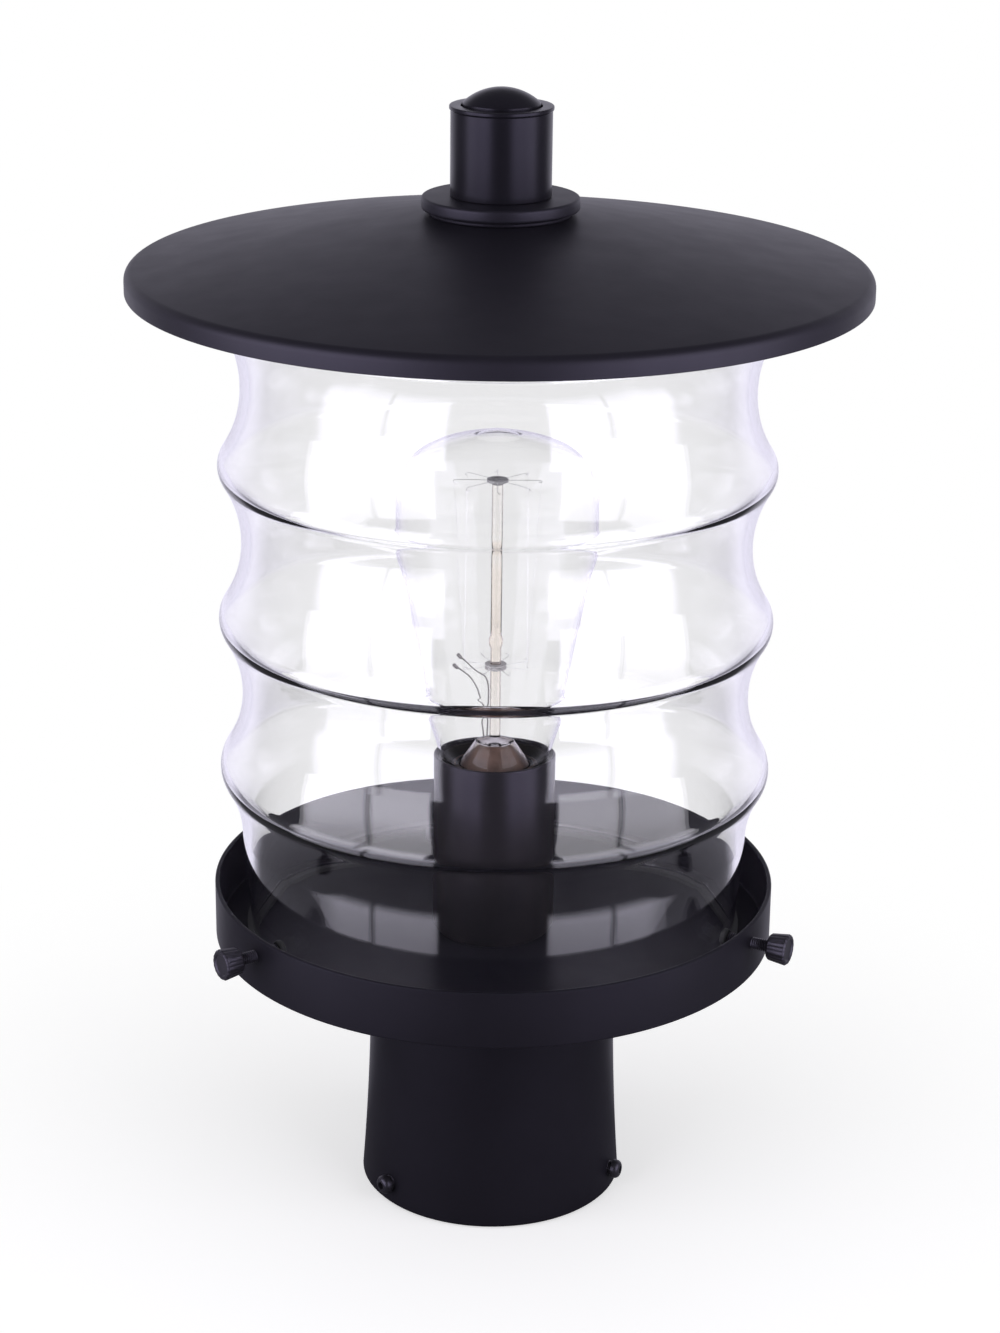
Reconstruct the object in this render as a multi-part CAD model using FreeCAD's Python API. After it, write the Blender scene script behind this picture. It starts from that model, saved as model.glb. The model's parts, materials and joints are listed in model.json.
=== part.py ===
"""Post-top lantern: a fitter sleeve for a round 3 inch post carries a pan, a clear ribbed
glass cylinder, a vintage-style bulb in its socket, and a flat conical roof with a finial.

Millimetres, +Z up.  The origin is the centre of the fitter's bottom rim, so z = 0 is the
plane that the lantern rests on.  The front looks along -Y.  Each function below builds one
separate piece, and each piece is written to its own STEP file.
"""
import FreeCAD, Part
import math
import os

# ---------------------------------------------------------------- clearances
RUNNING_GAP = 0.05        # radial gap of a screw or rod in its hole
LOOSE_GAP = 0.4           # radial gap of pieces that only have to pass through
SOFT_GAP = 0.3            # gap between curved faces of pieces that move apart

# ---------------------------------------------------------------- post fitter
POST_BORE_RADIUS = 38.6       # takes a round post of 76.2 mm across
POST_DEPTH = 70.0             # how far the post goes in
WIRING_ROOM = 13.3            # height of the hollow between the post's end and the plate
FITTER_PLATE = 6.0            # thickness of the closed top
FITTER_WALL_FOOT = 4.4        # wall at the bottom rim
FITTER_WALL_KNEE = 1.9        # wall where the flared foot ends
FITTER_WALL_TOP = 1.3         # wall past the post bore's radius, at the top
FITTER_KNEE_DROP = 40.3       # from the top down to where the flared foot ends
FITTER_FLARE_HOLLOW = 0.3     # how far the flare is hollowed, midway
FITTER_LEDGE = 4.6            # width of the ledge that the post stops against
FITTER_RIM_ROUND = 0.8

# ---------------------------------------------------------------- screws in the fitter
SET_SCREW_RADIUS = 2.5
SET_SCREW_HEIGHT = 7.3
SET_SCREW_HEAD_RADIUS = 3.1
SET_SCREW_HEAD = 2.8
SET_SCREW_PLAY = 0.6          # left between head and fitter, to clamp the post
SET_SCREW_FIRST_ANGLE = -51.0
SCREW_COUNT = 3

# ---------------------------------------------------------------- pan
PAN_GAP = 7.75                # open ring between the band and the glass's skirt
PAN_WALL = 1.5
PAN_DEPTH = 18.5
PAN_CORNER = 1.2
SCREW_BOSS_RADIUS = 4.2       # pressed collar round each thumb screw hole
SCREW_BOSS_DEPTH = 1.6

# ---------------------------------------------------------------- thumb screws
THUMB_RADIUS = 2.0
THUMB_HEIGHT = 10.2           # above the floor of the pan
THUMB_FIRST_ANGLE = -55.0
THUMB_NECK = 5.6              # bare shank between band and head
THUMB_HEAD = 6.6
THUMB_HEAD_RADIUS = 5.0
THUMB_HEAD_TAPER = 0.6        # the head is this much slimmer next to the shank
THUMB_TIP_RADIUS = 2.9
THUMB_TIP = 2.4
THUMB_GRIPS = 16
THUMB_GRIP_RADIUS = 0.5
THUMB_GRIP_DEPTH = 0.3

# ---------------------------------------------------------------- glass shade
SHADE_WALL = 3.0
SHADE_SKIRT_STEP = 6.6        # from the lowest rib's crest in to the top of the skirt
SHADE_SKIRT_TAPER = 2.5       # the bottom rim is this much smaller than the skirt's top
FIRST_RIB_HEIGHT = 55.2       # above the bottom rim of the glass
RIB_PITCH = 49.7
RIB_COUNT = 4
RIB_RADIUS = 88.0             # outside radius of the lowest rib
RIB_DEPTH = 7.2               # from a rib's crest to the waist above it
RIB_NOSE = 6.0                # radius of the crest's own rounding
RIB_DRAW_IN = 0.4             # each rib is this much smaller than the one below
SHADE_SHOULDER = 15.2         # radius of the turn from the top rib to the flat top
SHADE_HOLE_RADIUS = 6.0
SEAT_GASKET = 1.7
SEAT_GASKET_WIDTH = 6.0

# ---------------------------------------------------------------- roof
ROD_RADIUS = 3.0
STACK_GASKET = 2.0            # rubber above and below the glass
STACK_WASHER = 1.2
STACK_RADIUS = 14.0
ROD_NUT_FLATS = 10.0
ROD_NUT = 5.0
ROD_TAIL = 2.3                # rod below its nut
SPACER_HEIGHT = 9.8
SPACER_RADIUS = 8.0
ROOF_OVERHANG = 26.1          # past the lowest rib's crest
ROOF_SHEET = 1.2
ROOF_LIP = 6.4
ROOF_CORNER = 3.0
ROOF_RISE = 16.3              # from the top of the lip to the flat centre
ROOF_FLAT_RADIUS = 22.5
FLANGE_RADIUS = 24.15
FLANGE_FOOT = 1.6
FLANGE_FOOT_SETBACK = 2.35    # the foot is this much slimmer than the disc
FLANGE_DISC = 4.0
FLANGE_ROUND = 1.3

# ---------------------------------------------------------------- finial
SLEEVE_RADIUS = 15.4
SLEEVE_HEIGHT = 27.3
SLEEVE_WALL = 2.2
SLEEVE_RIM = 1.5              # height of the raised rim at the top
SLEEVE_RIM_STEP = 0.4
SLEEVE_FOOT = 3.0
SLEEVE_WEB = 2.5              # the wall that the dome nut pulls on
NUT_SINK = 5.4                # from the sleeve's rim down to the web
DOME_GAP = 1.4                # between the dome nut and the sleeve's mouth
DOME_RISE = 4.6
DOME_SKIRT = 5.3              # straight part of the dome nut
DOME_WASHER = 0.8
DOME_WASHER_SETBACK = 2.8     # the washer is this much slimmer than the dome nut
ROD_ENGAGEMENT = 5.5          # rod inside the dome nut
ROD_END_GAP = 1.0             # left above the rod inside the dome nut

# ---------------------------------------------------------------- socket
COVER_GAP = 0.8               # between the cover's mouth and the bulb's throat
COVER_WALL = 1.1
COVER_LIP = 3.7               # the cover's rim is this far above the rim of the bulb's base
COVER_FLOOR = 1.0
SOCKET_WALL_GAP = 0.3
SOCKET_TOP_SETBACK = 1.6      # the socket body ends this far below the cover's rim
SOCKET_WEB_BOTTOM = 13.2      # above the cover's floor
SOCKET_WEB = 14.2
SOCKET_SKIRT_WALL = 4.2
SOCKET_MOUTH_DEPTH = 6.5
SOCKET_MOUTH_WALL = 1.0
SHELL_WALL = 0.6
CONTACT_RADIUS = 3.2
CONTACT_THICKNESS = 0.8
TERMINAL_RADIUS = 2.0
TERMINAL_HEAD_RADIUS = 3.4
TERMINAL_HEAD = 1.6
TERMINAL_DEPTH = 7.1
TERMINAL_GAP = 0.5            # between a terminal's head and the hollow foot's wall
COVER_SCREW_RADIUS = 1.5
COVER_SCREW_HEAD_RADIUS = 2.5
COVER_SCREW_HEAD = 2.8
COVER_SCREW_END_GAP = 0.7     # left between the screw's end and the screw shell
COVER_SCREW_DROP = 31.0       # below the cover's rim

# ---------------------------------------------------------------- nipple stack
NIPPLE_RADIUS = 5.0
NIPPLE_WALL = 1.4
NIPPLE_NUT = 5.0
NIPPLE_NUT_FLATS = 14.0
NIPPLE_WASHER = 1.0
NIPPLE_WASHER_RADIUS = 9.0
NIPPLE_TAIL = 3.0
GROMMET_WALL = 1.2
GROMMET_LIP = 1.2
GROMMET_BORE_RADIUS = 2.6
GROUND_SCREW_RADIUS = 2.0
GROUND_SCREW_HEAD_RADIUS = 4.0
GROUND_SCREW_HEAD = 2.2
GROUND_SCREW_DEPTH = 4.0
GROUND_SCREW_OFFSET = 20.0

# ---------------------------------------------------------------- bulb
BASE_RADIUS = 13.1            # E26 screw base
BASE_HEIGHT = 21.0            # straight shell, above its tapered end
BASE_TAPER = 4.0
BASE_END_RADIUS = 8.6
BASE_SHEET = 0.4
BASE_INSULATOR = 2.0
BASE_CONTACT_RADIUS = 4.6
BASE_CONTACT = 1.0
BULB_WALL = 0.8
BULB_NECK_GAP = 0.3           # between the glass neck and the inside of the base
BULB_NECK = 6.2               # the glass neck goes this far into the base
BULB_THROAT_RADIUS = 17.6     # just above the screw base
BULB_THROAT = 3.6             # above the rim of the base
BULB_THROAT_BOW = 0.5         # how far the throat bulges from a straight flare
BULB_TAPER_RADIUS = 21.9
BULB_TAPER = 21.0             # above the rim of the base
BULB_SHOULDER_RADIUS = 30.0
BULB_SHOULDER = 66.5          # above the rim of the base
BULB_RADIUS = 31.9
BULB_WIDEST = 78.0            # above the rim of the base
BULB_SIDE = 10.0              # upright stretch above the widest point
BULB_TURN_RADIUS = 18.5
BULB_CROWN_RADIUS = 48.0
BULB_TIP_RADIUS = 7.0
BULB_TIP = 1.8
STEM_RADIUS = 1.85
STEM_TOP = 92.0               # above the rim of the base
STEM_FLARE_RADIUS = 6.2
STEM_FLARE_TOP = 9.0
STEM_SKIRT_WALL = 0.8
STEM_SKIRT = 1.0              # straight stretch of the flare's rim inside the neck
BUTTON_RADIUS = 3.4
BUTTON = 2.8
COLLAR_RADIUS = 3.5
COLLAR = 1.8
COLLAR_HEIGHT = 30.6          # above the rim of the base
WIRE_RADIUS = 0.25
UPPER_HOOKS_RADIUS = 14.0
LOWER_HOOKS_RADIUS = 12.0
HOOKS_AROUND = 8
LEAD_RADIUS = 0.35
LEAD_CRIMP_RADIUS = 0.8
LEAD_CRIMP_DISTANCE = 11.5    # from the axis
LEAD_FOOT_DISTANCE = 3.6
LEAD_UPRIGHT = 8.4
LEAD_RISE = 24.0
LEAD_STEP = 2.0               # the second crimp sits this much lower
LEAD_ANGLE = -90.0            # the two wires lie either side of the left
LEAD_SPREAD = 20.0

# ---------------------------------------------------------------- heights, worked out
PLATE_BOTTOM = POST_DEPTH + WIRING_ROOM
FITTER_HEIGHT = PLATE_BOTTOM + FITTER_PLATE
FLOOR = FITTER_HEIGHT + PAN_WALL
GLASS_BOTTOM = FLOOR + SEAT_GASKET
FIRST_RIB = GLASS_BOTTOM + FIRST_RIB_HEIGHT
LAST_RIB = FIRST_RIB + (RIB_COUNT - 1) * RIB_PITCH
GLASS_TOP = LAST_RIB + SHADE_SHOULDER
GLASS_CEILING = GLASS_TOP - SHADE_WALL
SPACER_BOTTOM = GLASS_TOP + STACK_GASKET
ROOF_UNDERSIDE = SPACER_BOTTOM + SPACER_HEIGHT
ROOF_TOP = ROOF_UNDERSIDE + ROOF_SHEET
LIP_TOP = ROOF_TOP - ROOF_RISE
LIP_BOTTOM = LIP_TOP - ROOF_LIP
FLANGE_TOP = ROOF_TOP + FLANGE_FOOT + FLANGE_DISC
SLEEVE_TOP = FLANGE_TOP + SLEEVE_HEIGHT
WEB_TOP = SLEEVE_TOP - NUT_SINK
DOME_BOTTOM = WEB_TOP + DOME_WASHER
ROD_TOP = DOME_BOTTOM + ROD_ENGAGEMENT
INNER_GASKET_BOTTOM = GLASS_CEILING - STACK_GASKET
INNER_WASHER_BOTTOM = INNER_GASKET_BOTTOM - STACK_WASHER
ROD_NUT_BOTTOM = INNER_WASHER_BOTTOM - ROD_NUT
ROD_BOTTOM = ROD_NUT_BOTTOM - ROD_TAIL
THUMB_Z = FLOOR + THUMB_HEIGHT
COVER_INSIDE = FLOOR + COVER_FLOOR
WEB_BOTTOM = COVER_INSIDE + SOCKET_WEB_BOTTOM
SOCKET_FLOOR = WEB_BOTTOM + SOCKET_WEB
CONTACT_TOP = SOCKET_FLOOR + CONTACT_THICKNESS
BASE_END = CONTACT_TOP + BASE_CONTACT + BASE_INSULATOR
BASE_RIM = BASE_END + BASE_TAPER + BASE_HEIGHT
COVER_TOP = BASE_RIM + COVER_LIP
COVER_SCREW_Z = COVER_TOP - COVER_SCREW_DROP
SOCKET_TOP = COVER_TOP - SOCKET_TOP_SETBACK
UPPER_NUT_BOTTOM = COVER_INSIDE + NIPPLE_WASHER
NIPPLE_TOP = UPPER_NUT_BOTTOM + NIPPLE_NUT + NIPPLE_TAIL
LOWER_WASHER_BOTTOM = PLATE_BOTTOM - NIPPLE_WASHER
LOWER_NUT_BOTTOM = LOWER_WASHER_BOTTOM - NIPPLE_NUT
NIPPLE_BOTTOM = LOWER_NUT_BOTTOM - NIPPLE_TAIL

# ---------------------------------------------------------------- radii, worked out
SHADE_SKIRT_RADIUS = RIB_RADIUS - SHADE_SKIRT_STEP
SHADE_MOUTH_RADIUS = SHADE_SKIRT_RADIUS - SHADE_SKIRT_TAPER
PAN_RADIUS = SHADE_SKIRT_RADIUS + PAN_GAP + PAN_WALL
ROOF_RADIUS = RIB_RADIUS + ROOF_OVERHANG
FLANGE_FOOT_RADIUS = FLANGE_RADIUS - FLANGE_FOOT_SETBACK
DOME_RADIUS = SLEEVE_RADIUS - SLEEVE_WALL - DOME_GAP
DOME_WASHER_RADIUS = DOME_RADIUS - DOME_WASHER_SETBACK
BULB_NECK_RADIUS = BASE_RADIUS - BASE_SHEET - BULB_NECK_GAP
COVER_RADIUS = BULB_THROAT_RADIUS + COVER_GAP + COVER_WALL
SOCKET_RADIUS = COVER_RADIUS - COVER_WALL - SOCKET_WALL_GAP
SOCKET_FOOT_RADIUS = SOCKET_RADIUS - SOCKET_SKIRT_WALL
TERMINAL_DISTANCE = SOCKET_FOOT_RADIUS - TERMINAL_GAP - TERMINAL_HEAD_RADIUS
SHELL_RADIUS = BASE_RADIUS + LOOSE_GAP + SHELL_WALL
COVER_SCREW_TIP = SHELL_RADIUS + COVER_SCREW_END_GAP
NIPPLE_HOLE_RADIUS = NIPPLE_RADIUS + RUNNING_GAP
ROD_HOLE_RADIUS = ROD_RADIUS + RUNNING_GAP


# ---------------------------------------------------------------- drawing helpers
def point(radius, height):
    """A point of an outline, in the plane y = 0."""
    return FreeCAD.Vector(radius, 0, height)


def lathe(start, *steps):
    """Turn a closed outline about Z.  A step is one point, or a pair of points:
    one that the arc passes through, and one that it ends at."""
    here = point(*start)
    edges = []
    for step in steps + (start,):
        if isinstance(step[0], tuple):
            through, end = point(*step[0]), point(*step[1])
            edges.append(Part.Arc(here, through, end).toShape())
        else:
            end = point(*step)
            if here.distanceToPoint(end) > 1e-7:
                edges.append(Part.LineSegment(here, end).toShape())
        here = end
    face = Part.Face(Part.Wire(edges))
    return face.revolve(FreeCAD.Vector(0, 0, 0), FreeCAD.Vector(0, 0, 1), 360)


def disc(radius, bottom, top):
    return Part.makeCylinder(radius, top - bottom, point(0, bottom))


def ring(radius, bore, bottom, top):
    return disc(radius, bottom, top).cut(disc(bore, bottom - 1, top + 1))


def hexagon(flats, bore, bottom, top):
    """A plain hexagon nut with its corners turned off at both ends."""
    corner = flats / math.sqrt(3)
    corners = []
    for side in range(7):
        angle = math.radians(60 * side)
        corners.append(FreeCAD.Vector(corner * math.cos(angle), corner * math.sin(angle), bottom))
    nut = Part.Face(Part.makePolygon(corners)).extrude(FreeCAD.Vector(0, 0, top - bottom))
    trim = corner - flats / 2
    middle = (bottom + top) / 2
    turned = lathe((0, bottom), (flats / 2, bottom), (corner + trim, bottom + trim),
                   (corner + trim, middle), (corner + trim, top - trim), (flats / 2, top), (0, top))
    return nut.common(turned).cut(disc(bore, bottom - 1, top + 1))


def turned_to(shape, angle, height):
    """Lay a piece that was drawn along +Z so that it points outwards at an angle from the
    front (-Y, growing towards +X), at a height."""
    placed = shape.copy()
    placed.rotate(FreeCAD.Vector(0, 0, 0), FreeCAD.Vector(1, 0, 0), 90)
    placed.rotate(FreeCAD.Vector(0, 0, 0), FreeCAD.Vector(0, 0, 1), angle)
    placed.translate(FreeCAD.Vector(0, 0, height))
    return placed


def angles_around(first, count):
    return [first + 360.0 / count * index for index in range(count)]


def rod_between(start, end, radius):
    direction = end.sub(start)
    return Part.makeCylinder(radius, direction.Length, start, direction)


def wire_through(points, radius):
    """A thin round wire along straight runs, with a ball at each corner."""
    pieces = []
    for start, end in zip(points, points[1:]):
        pieces.append(rod_between(start, end, radius))
    for corner in points[1:-1]:
        pieces.append(Part.makeSphere(radius, corner))
    if len(pieces) == 1:
        return pieces[0]
    return pieces[0].multiFuse(pieces[1:])


def around(radius, angle, height):
    """A point at an angle from the front, growing towards +X."""
    turn = math.radians(angle)
    return FreeCAD.Vector(radius * math.sin(turn), -radius * math.cos(turn), height)


def cap_arc(radius, base, rise):
    """The arc of a round cap: a point midway along it, and its top on the axis."""
    ball = (radius * radius + rise * rise) / (2 * rise)
    half = math.asin(radius / ball) / 2
    midway = (ball * math.sin(half), base + rise - ball + ball * math.cos(half))
    return midway, (0, base + rise)


def swell_into(side, low, top):
    """A point midway along the arc that runs from the point low smoothly into an upright
    side at the height top."""
    depth = side - low[0]
    reach = top - low[1]
    radius = (depth * depth + reach * reach) / (2 * depth)
    half = math.asin(reach / radius) / 2
    return (side - radius + radius * math.cos(half), top - radius * math.sin(half))


def pan_head(shank_radius, shank, head_radius, head):
    """A round-headed screw along +Z: the tip at 0, and a head, half of it domed, beyond
    the shank."""
    dome = head / 2
    return lathe((0, 0), (shank_radius, 0), (shank_radius, shank), (head_radius, shank),
                 (head_radius, shank + dome), cap_arc(head_radius, shank + dome, dome))


# ---------------------------------------------------------------- fitter and pan
def post_fitter():
    foot = POST_BORE_RADIUS + FITTER_WALL_FOOT
    knee = FITTER_HEIGHT - FITTER_KNEE_DROP
    knee_radius = POST_BORE_RADIUS + FITTER_WALL_KNEE
    top_radius = POST_BORE_RADIUS + FITTER_WALL_TOP
    bend = ((foot + knee_radius) / 2 - FITTER_FLARE_HOLLOW, (FITTER_RIM_ROUND + knee) / 2)
    ledge_radius = POST_BORE_RADIUS - FITTER_LEDGE
    body = lathe((POST_BORE_RADIUS, FITTER_RIM_ROUND),
                 (POST_BORE_RADIUS + FITTER_RIM_ROUND, 0), (foot - FITTER_RIM_ROUND, 0),
                 (foot, FITTER_RIM_ROUND), (bend, (knee_radius, knee)),
                 (top_radius, FITTER_HEIGHT), (NIPPLE_HOLE_RADIUS, FITTER_HEIGHT),
                 (NIPPLE_HOLE_RADIUS, PLATE_BOTTOM), (ledge_radius, PLATE_BOTTOM),
                 (ledge_radius, POST_DEPTH), (POST_BORE_RADIUS, POST_DEPTH))
    hole = disc(SET_SCREW_RADIUS + RUNNING_GAP, 0, foot * 2)
    for angle in angles_around(SET_SCREW_FIRST_ANGLE, SCREW_COUNT):
        body = body.cut(turned_to(hole, angle, SET_SCREW_HEIGHT))
    pilot = disc(GROUND_SCREW_RADIUS + RUNNING_GAP, PLATE_BOTTOM - 1, PLATE_BOTTOM + GROUND_SCREW_DEPTH)
    pilot.translate(FreeCAD.Vector(0, GROUND_SCREW_OFFSET, 0))
    return body.cut(pilot)


def set_screw(angle):
    """Its tip is flush with the post bore; its head stands on the outside of the fitter."""
    shank = FITTER_WALL_FOOT + SET_SCREW_PLAY
    screw = pan_head(SET_SCREW_RADIUS, shank, SET_SCREW_HEAD_RADIUS, SET_SCREW_HEAD)
    screw.translate(FreeCAD.Vector(0, 0, POST_BORE_RADIUS))
    return turned_to(screw, angle, SET_SCREW_HEIGHT)


def ground_screw():
    top = PLATE_BOTTOM + GROUND_SCREW_DEPTH
    screw = pan_head(GROUND_SCREW_RADIUS, GROUND_SCREW_DEPTH, GROUND_SCREW_HEAD_RADIUS,
                     GROUND_SCREW_HEAD)
    screw.rotate(FreeCAD.Vector(0, 0, 0), FreeCAD.Vector(1, 0, 0), 180)
    screw.translate(FreeCAD.Vector(0, GROUND_SCREW_OFFSET, top))
    return screw


def shade_pan():
    inside = PAN_RADIUS - PAN_WALL
    top = FITTER_HEIGHT + PAN_DEPTH
    turn = PAN_CORNER * (1 - math.sqrt(0.5))
    body = lathe((NIPPLE_HOLE_RADIUS, FITTER_HEIGHT), (PAN_RADIUS - PAN_CORNER, FITTER_HEIGHT),
                 ((PAN_RADIUS - turn, FITTER_HEIGHT + turn), (PAN_RADIUS, FITTER_HEIGHT + PAN_CORNER)),
                 (PAN_RADIUS, top), (inside, top), (inside, FLOOR), (NIPPLE_HOLE_RADIUS, FLOOR))
    boss = disc(SCREW_BOSS_RADIUS, inside - SCREW_BOSS_DEPTH, inside + PAN_WALL / 2)
    hole = disc(THUMB_RADIUS + RUNNING_GAP, inside - SCREW_BOSS_DEPTH - 1, PAN_RADIUS + 1)
    for angle in angles_around(THUMB_FIRST_ANGLE, SCREW_COUNT):
        body = body.fuse(turned_to(boss, angle, THUMB_Z))
        body = body.cut(turned_to(hole, angle, THUMB_Z))
    return body


def glass_radius_at(height):
    """Outside radius of the glass's tapered skirt at a height."""
    share = (height - GLASS_BOTTOM) / (skirt_top() - GLASS_BOTTOM)
    return SHADE_MOUTH_RADIUS + (SHADE_SKIRT_RADIUS - SHADE_MOUTH_RADIUS) * share


def thumb_tip_face():
    """How far the soft tips' faces stand from the axis, clear of the glass's skirt."""
    return glass_radius_at(THUMB_Z + THUMB_TIP_RADIUS) + SOFT_GAP


def thumb_screw(angle):
    start = thumb_tip_face() + THUMB_TIP
    head_start = PAN_RADIUS + THUMB_NECK
    head_end = head_start + THUMB_HEAD
    slim = THUMB_HEAD_RADIUS - THUMB_HEAD_TAPER
    edge = THUMB_GRIP_RADIUS
    screw = lathe((0, start), (THUMB_RADIUS, start), (THUMB_RADIUS, head_start),
                  (slim - edge, head_start), (slim, head_start + edge),
                  (THUMB_HEAD_RADIUS, head_end - edge), (THUMB_HEAD_RADIUS - edge, head_end),
                  (0, head_end))
    for turn in angles_around(0.0, THUMB_GRIPS):
        place = math.radians(turn)
        reach = THUMB_HEAD_RADIUS + THUMB_GRIP_RADIUS - THUMB_GRIP_DEPTH
        groove = Part.makeCylinder(THUMB_GRIP_RADIUS, THUMB_HEAD + 2, FreeCAD.Vector(
            reach * math.cos(place), reach * math.sin(place), head_start - 1))
        screw = screw.cut(groove)
    return turned_to(screw, angle, THUMB_Z)


def thumb_screw_tip(angle):
    start = thumb_tip_face()
    tip = disc(THUMB_TIP_RADIUS, start, start + THUMB_TIP)
    return turned_to(tip, angle, THUMB_Z)


# ---------------------------------------------------------------- glass shade
def rib_centre(index):
    """Centre of the arc that rounds a rib's crest."""
    return (RIB_RADIUS - RIB_DRAW_IN * index - RIB_NOSE, FIRST_RIB + RIB_PITCH * index)


def waist_radius(index):
    """Outside radius midway between a rib and the next one up."""
    return RIB_RADIUS - RIB_DRAW_IN * (index + 0.5) - RIB_DEPTH


def hollow_radius(depth, reach):
    """Radius of the hollow arc that meets the crest's arc smoothly, for a rib of that
    depth over that height."""
    return (depth * depth + reach * reach) / (2 * depth) - RIB_NOSE


def flank(index, waist, side, inset):
    """The tangent arcs of one flank of a rib: where crest and hollow meet, a point midway
    along the hollow, and the hollow's end at the waist.  side is +1 above, -1 below."""
    centre_radius, centre_height = rib_centre(index)
    depth = centre_radius + RIB_NOSE - waist
    reach = RIB_PITCH / 2
    hollow = hollow_radius(depth, reach)
    hollow_centre = (waist + hollow, centre_height + side * reach)
    span = hollow + RIB_NOSE
    across = (hollow_centre[0] - centre_radius) / span
    along = (hollow_centre[1] - centre_height) / span
    nose = RIB_NOSE - inset
    meet = (centre_radius + across * nose, centre_height + along * nose)
    sweep = math.atan2(abs(along), across) / 2
    bow = hollow + inset
    middle = (hollow_centre[0] - bow * math.cos(sweep),
              hollow_centre[1] - side * bow * math.sin(sweep))
    end = (hollow_centre[0] - bow, hollow_centre[1])
    return meet, middle, end


def skirt_reach():
    """Height from the lowest rib's crest down to the skirt, with the other ribs' hollow."""
    hollow = hollow_radius(RIB_DEPTH, RIB_PITCH / 2)
    depth = RIB_RADIUS - SHADE_SKIRT_RADIUS
    span = hollow + RIB_NOSE
    return math.sqrt(2 * span * depth - depth * depth)


def skirt_top():
    return FIRST_RIB - skirt_reach()


def glass_side(inset):
    """The steps of the glass's side from the skirt's top to the shoulder's top, moved
    inwards by inset: 0 for the outside, the wall for the inside."""
    hollow = hollow_radius(RIB_DEPTH, RIB_PITCH / 2)
    span = hollow + RIB_NOSE
    centre_radius, centre_height = rib_centre(0)
    hollow_centre = (SHADE_SKIRT_RADIUS + hollow, skirt_top())
    across = (hollow_centre[0] - centre_radius) / span
    along = (hollow_centre[1] - centre_height) / span
    sweep = math.atan2(abs(along), across) / 2
    bow = hollow + inset
    nose = RIB_NOSE - inset
    middle = (hollow_centre[0] - bow * math.cos(sweep), hollow_centre[1] + bow * math.sin(sweep))
    meet = (centre_radius + across * nose, centre_height + along * nose)
    steps = [(SHADE_SKIRT_RADIUS - inset, skirt_top()), (middle, meet)]
    for index in range(RIB_COUNT - 1):
        crest = (rib_centre(index)[0] + nose, rib_centre(index)[1])
        leave, hollow_middle, waist = flank(index, waist_radius(index), 1, inset)
        steps.append((crest, leave))
        steps.append((hollow_middle, waist))
        meet, hollow_middle, waist = flank(index + 1, waist_radius(index), -1, inset)
        steps.append((hollow_middle, meet))
    top_crest = (rib_centre(RIB_COUNT - 1)[0] + nose, LAST_RIB)
    before = math.atan2(meet[1] - LAST_RIB, meet[0] - rib_centre(RIB_COUNT - 1)[0]) / 2
    on_nose = (rib_centre(RIB_COUNT - 1)[0] + nose * math.cos(before),
               LAST_RIB + nose * math.sin(before))
    steps.append((on_nose, top_crest))
    turn = SHADE_SHOULDER - inset
    shoulder_centre = top_crest[0] - turn
    halfway = turn * math.sqrt(0.5)
    steps.append(((shoulder_centre + halfway, LAST_RIB + halfway), (shoulder_centre, LAST_RIB + turn)))
    return steps


def glass_shade():
    outside = lathe((0, GLASS_BOTTOM), (SHADE_MOUTH_RADIUS, GLASS_BOTTOM), *glass_side(0.0),
                    (0, GLASS_TOP))
    below = GLASS_BOTTOM - 1
    slope = (SHADE_SKIRT_RADIUS - SHADE_MOUTH_RADIUS) / (skirt_top() - GLASS_BOTTOM)
    mouth = SHADE_MOUTH_RADIUS - SHADE_WALL - slope
    inside = lathe((0, below), (mouth, below), *glass_side(SHADE_WALL), (0, GLASS_CEILING))
    hole = disc(SHADE_HOLE_RADIUS, GLASS_CEILING - 1, GLASS_TOP + 1)
    return outside.cut(inside).cut(hole)


def seat_gasket():
    outer = SHADE_MOUTH_RADIUS + SEAT_GASKET_WIDTH / 2 - SHADE_WALL / 2
    return ring(outer, outer - SEAT_GASKET_WIDTH, FLOOR, GLASS_BOTTOM)


# ---------------------------------------------------------------- roof and finial
def roof_cap():
    slope = math.atan2(ROOF_RISE, ROOF_RADIUS - ROOF_FLAT_RADIUS)
    turn = math.pi / 2 - slope
    setback = ROOF_CORNER * math.tan(turn / 2)
    edge_top = LIP_TOP - setback
    on_cone = (ROOF_RADIUS - setback * math.cos(slope), LIP_TOP + setback * math.sin(slope))
    centre = ROOF_RADIUS - ROOF_CORNER
    middle = (centre + ROOF_CORNER * math.cos(turn / 2), edge_top + ROOF_CORNER * math.sin(turn / 2))
    inner_corner = ROOF_CORNER - ROOF_SHEET
    inner_middle = (centre + inner_corner * math.cos(turn / 2),
                    edge_top + inner_corner * math.sin(turn / 2))
    inner_cone = (on_cone[0] - ROOF_SHEET * math.sin(slope), on_cone[1] - ROOF_SHEET * math.cos(slope))
    inner_flat = ROOF_FLAT_RADIUS - ROOF_SHEET * math.tan(slope / 2)
    return lathe((ROOF_RADIUS - ROOF_SHEET, LIP_BOTTOM), (ROOF_RADIUS, LIP_BOTTOM),
                 (ROOF_RADIUS, edge_top), (middle, on_cone), (ROOF_FLAT_RADIUS, ROOF_TOP),
                 (ROD_HOLE_RADIUS, ROOF_TOP), (ROD_HOLE_RADIUS, ROOF_UNDERSIDE),
                 (inner_flat, ROOF_UNDERSIDE), inner_cone,
                 (inner_middle, (ROOF_RADIUS - ROOF_SHEET, edge_top)))


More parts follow.
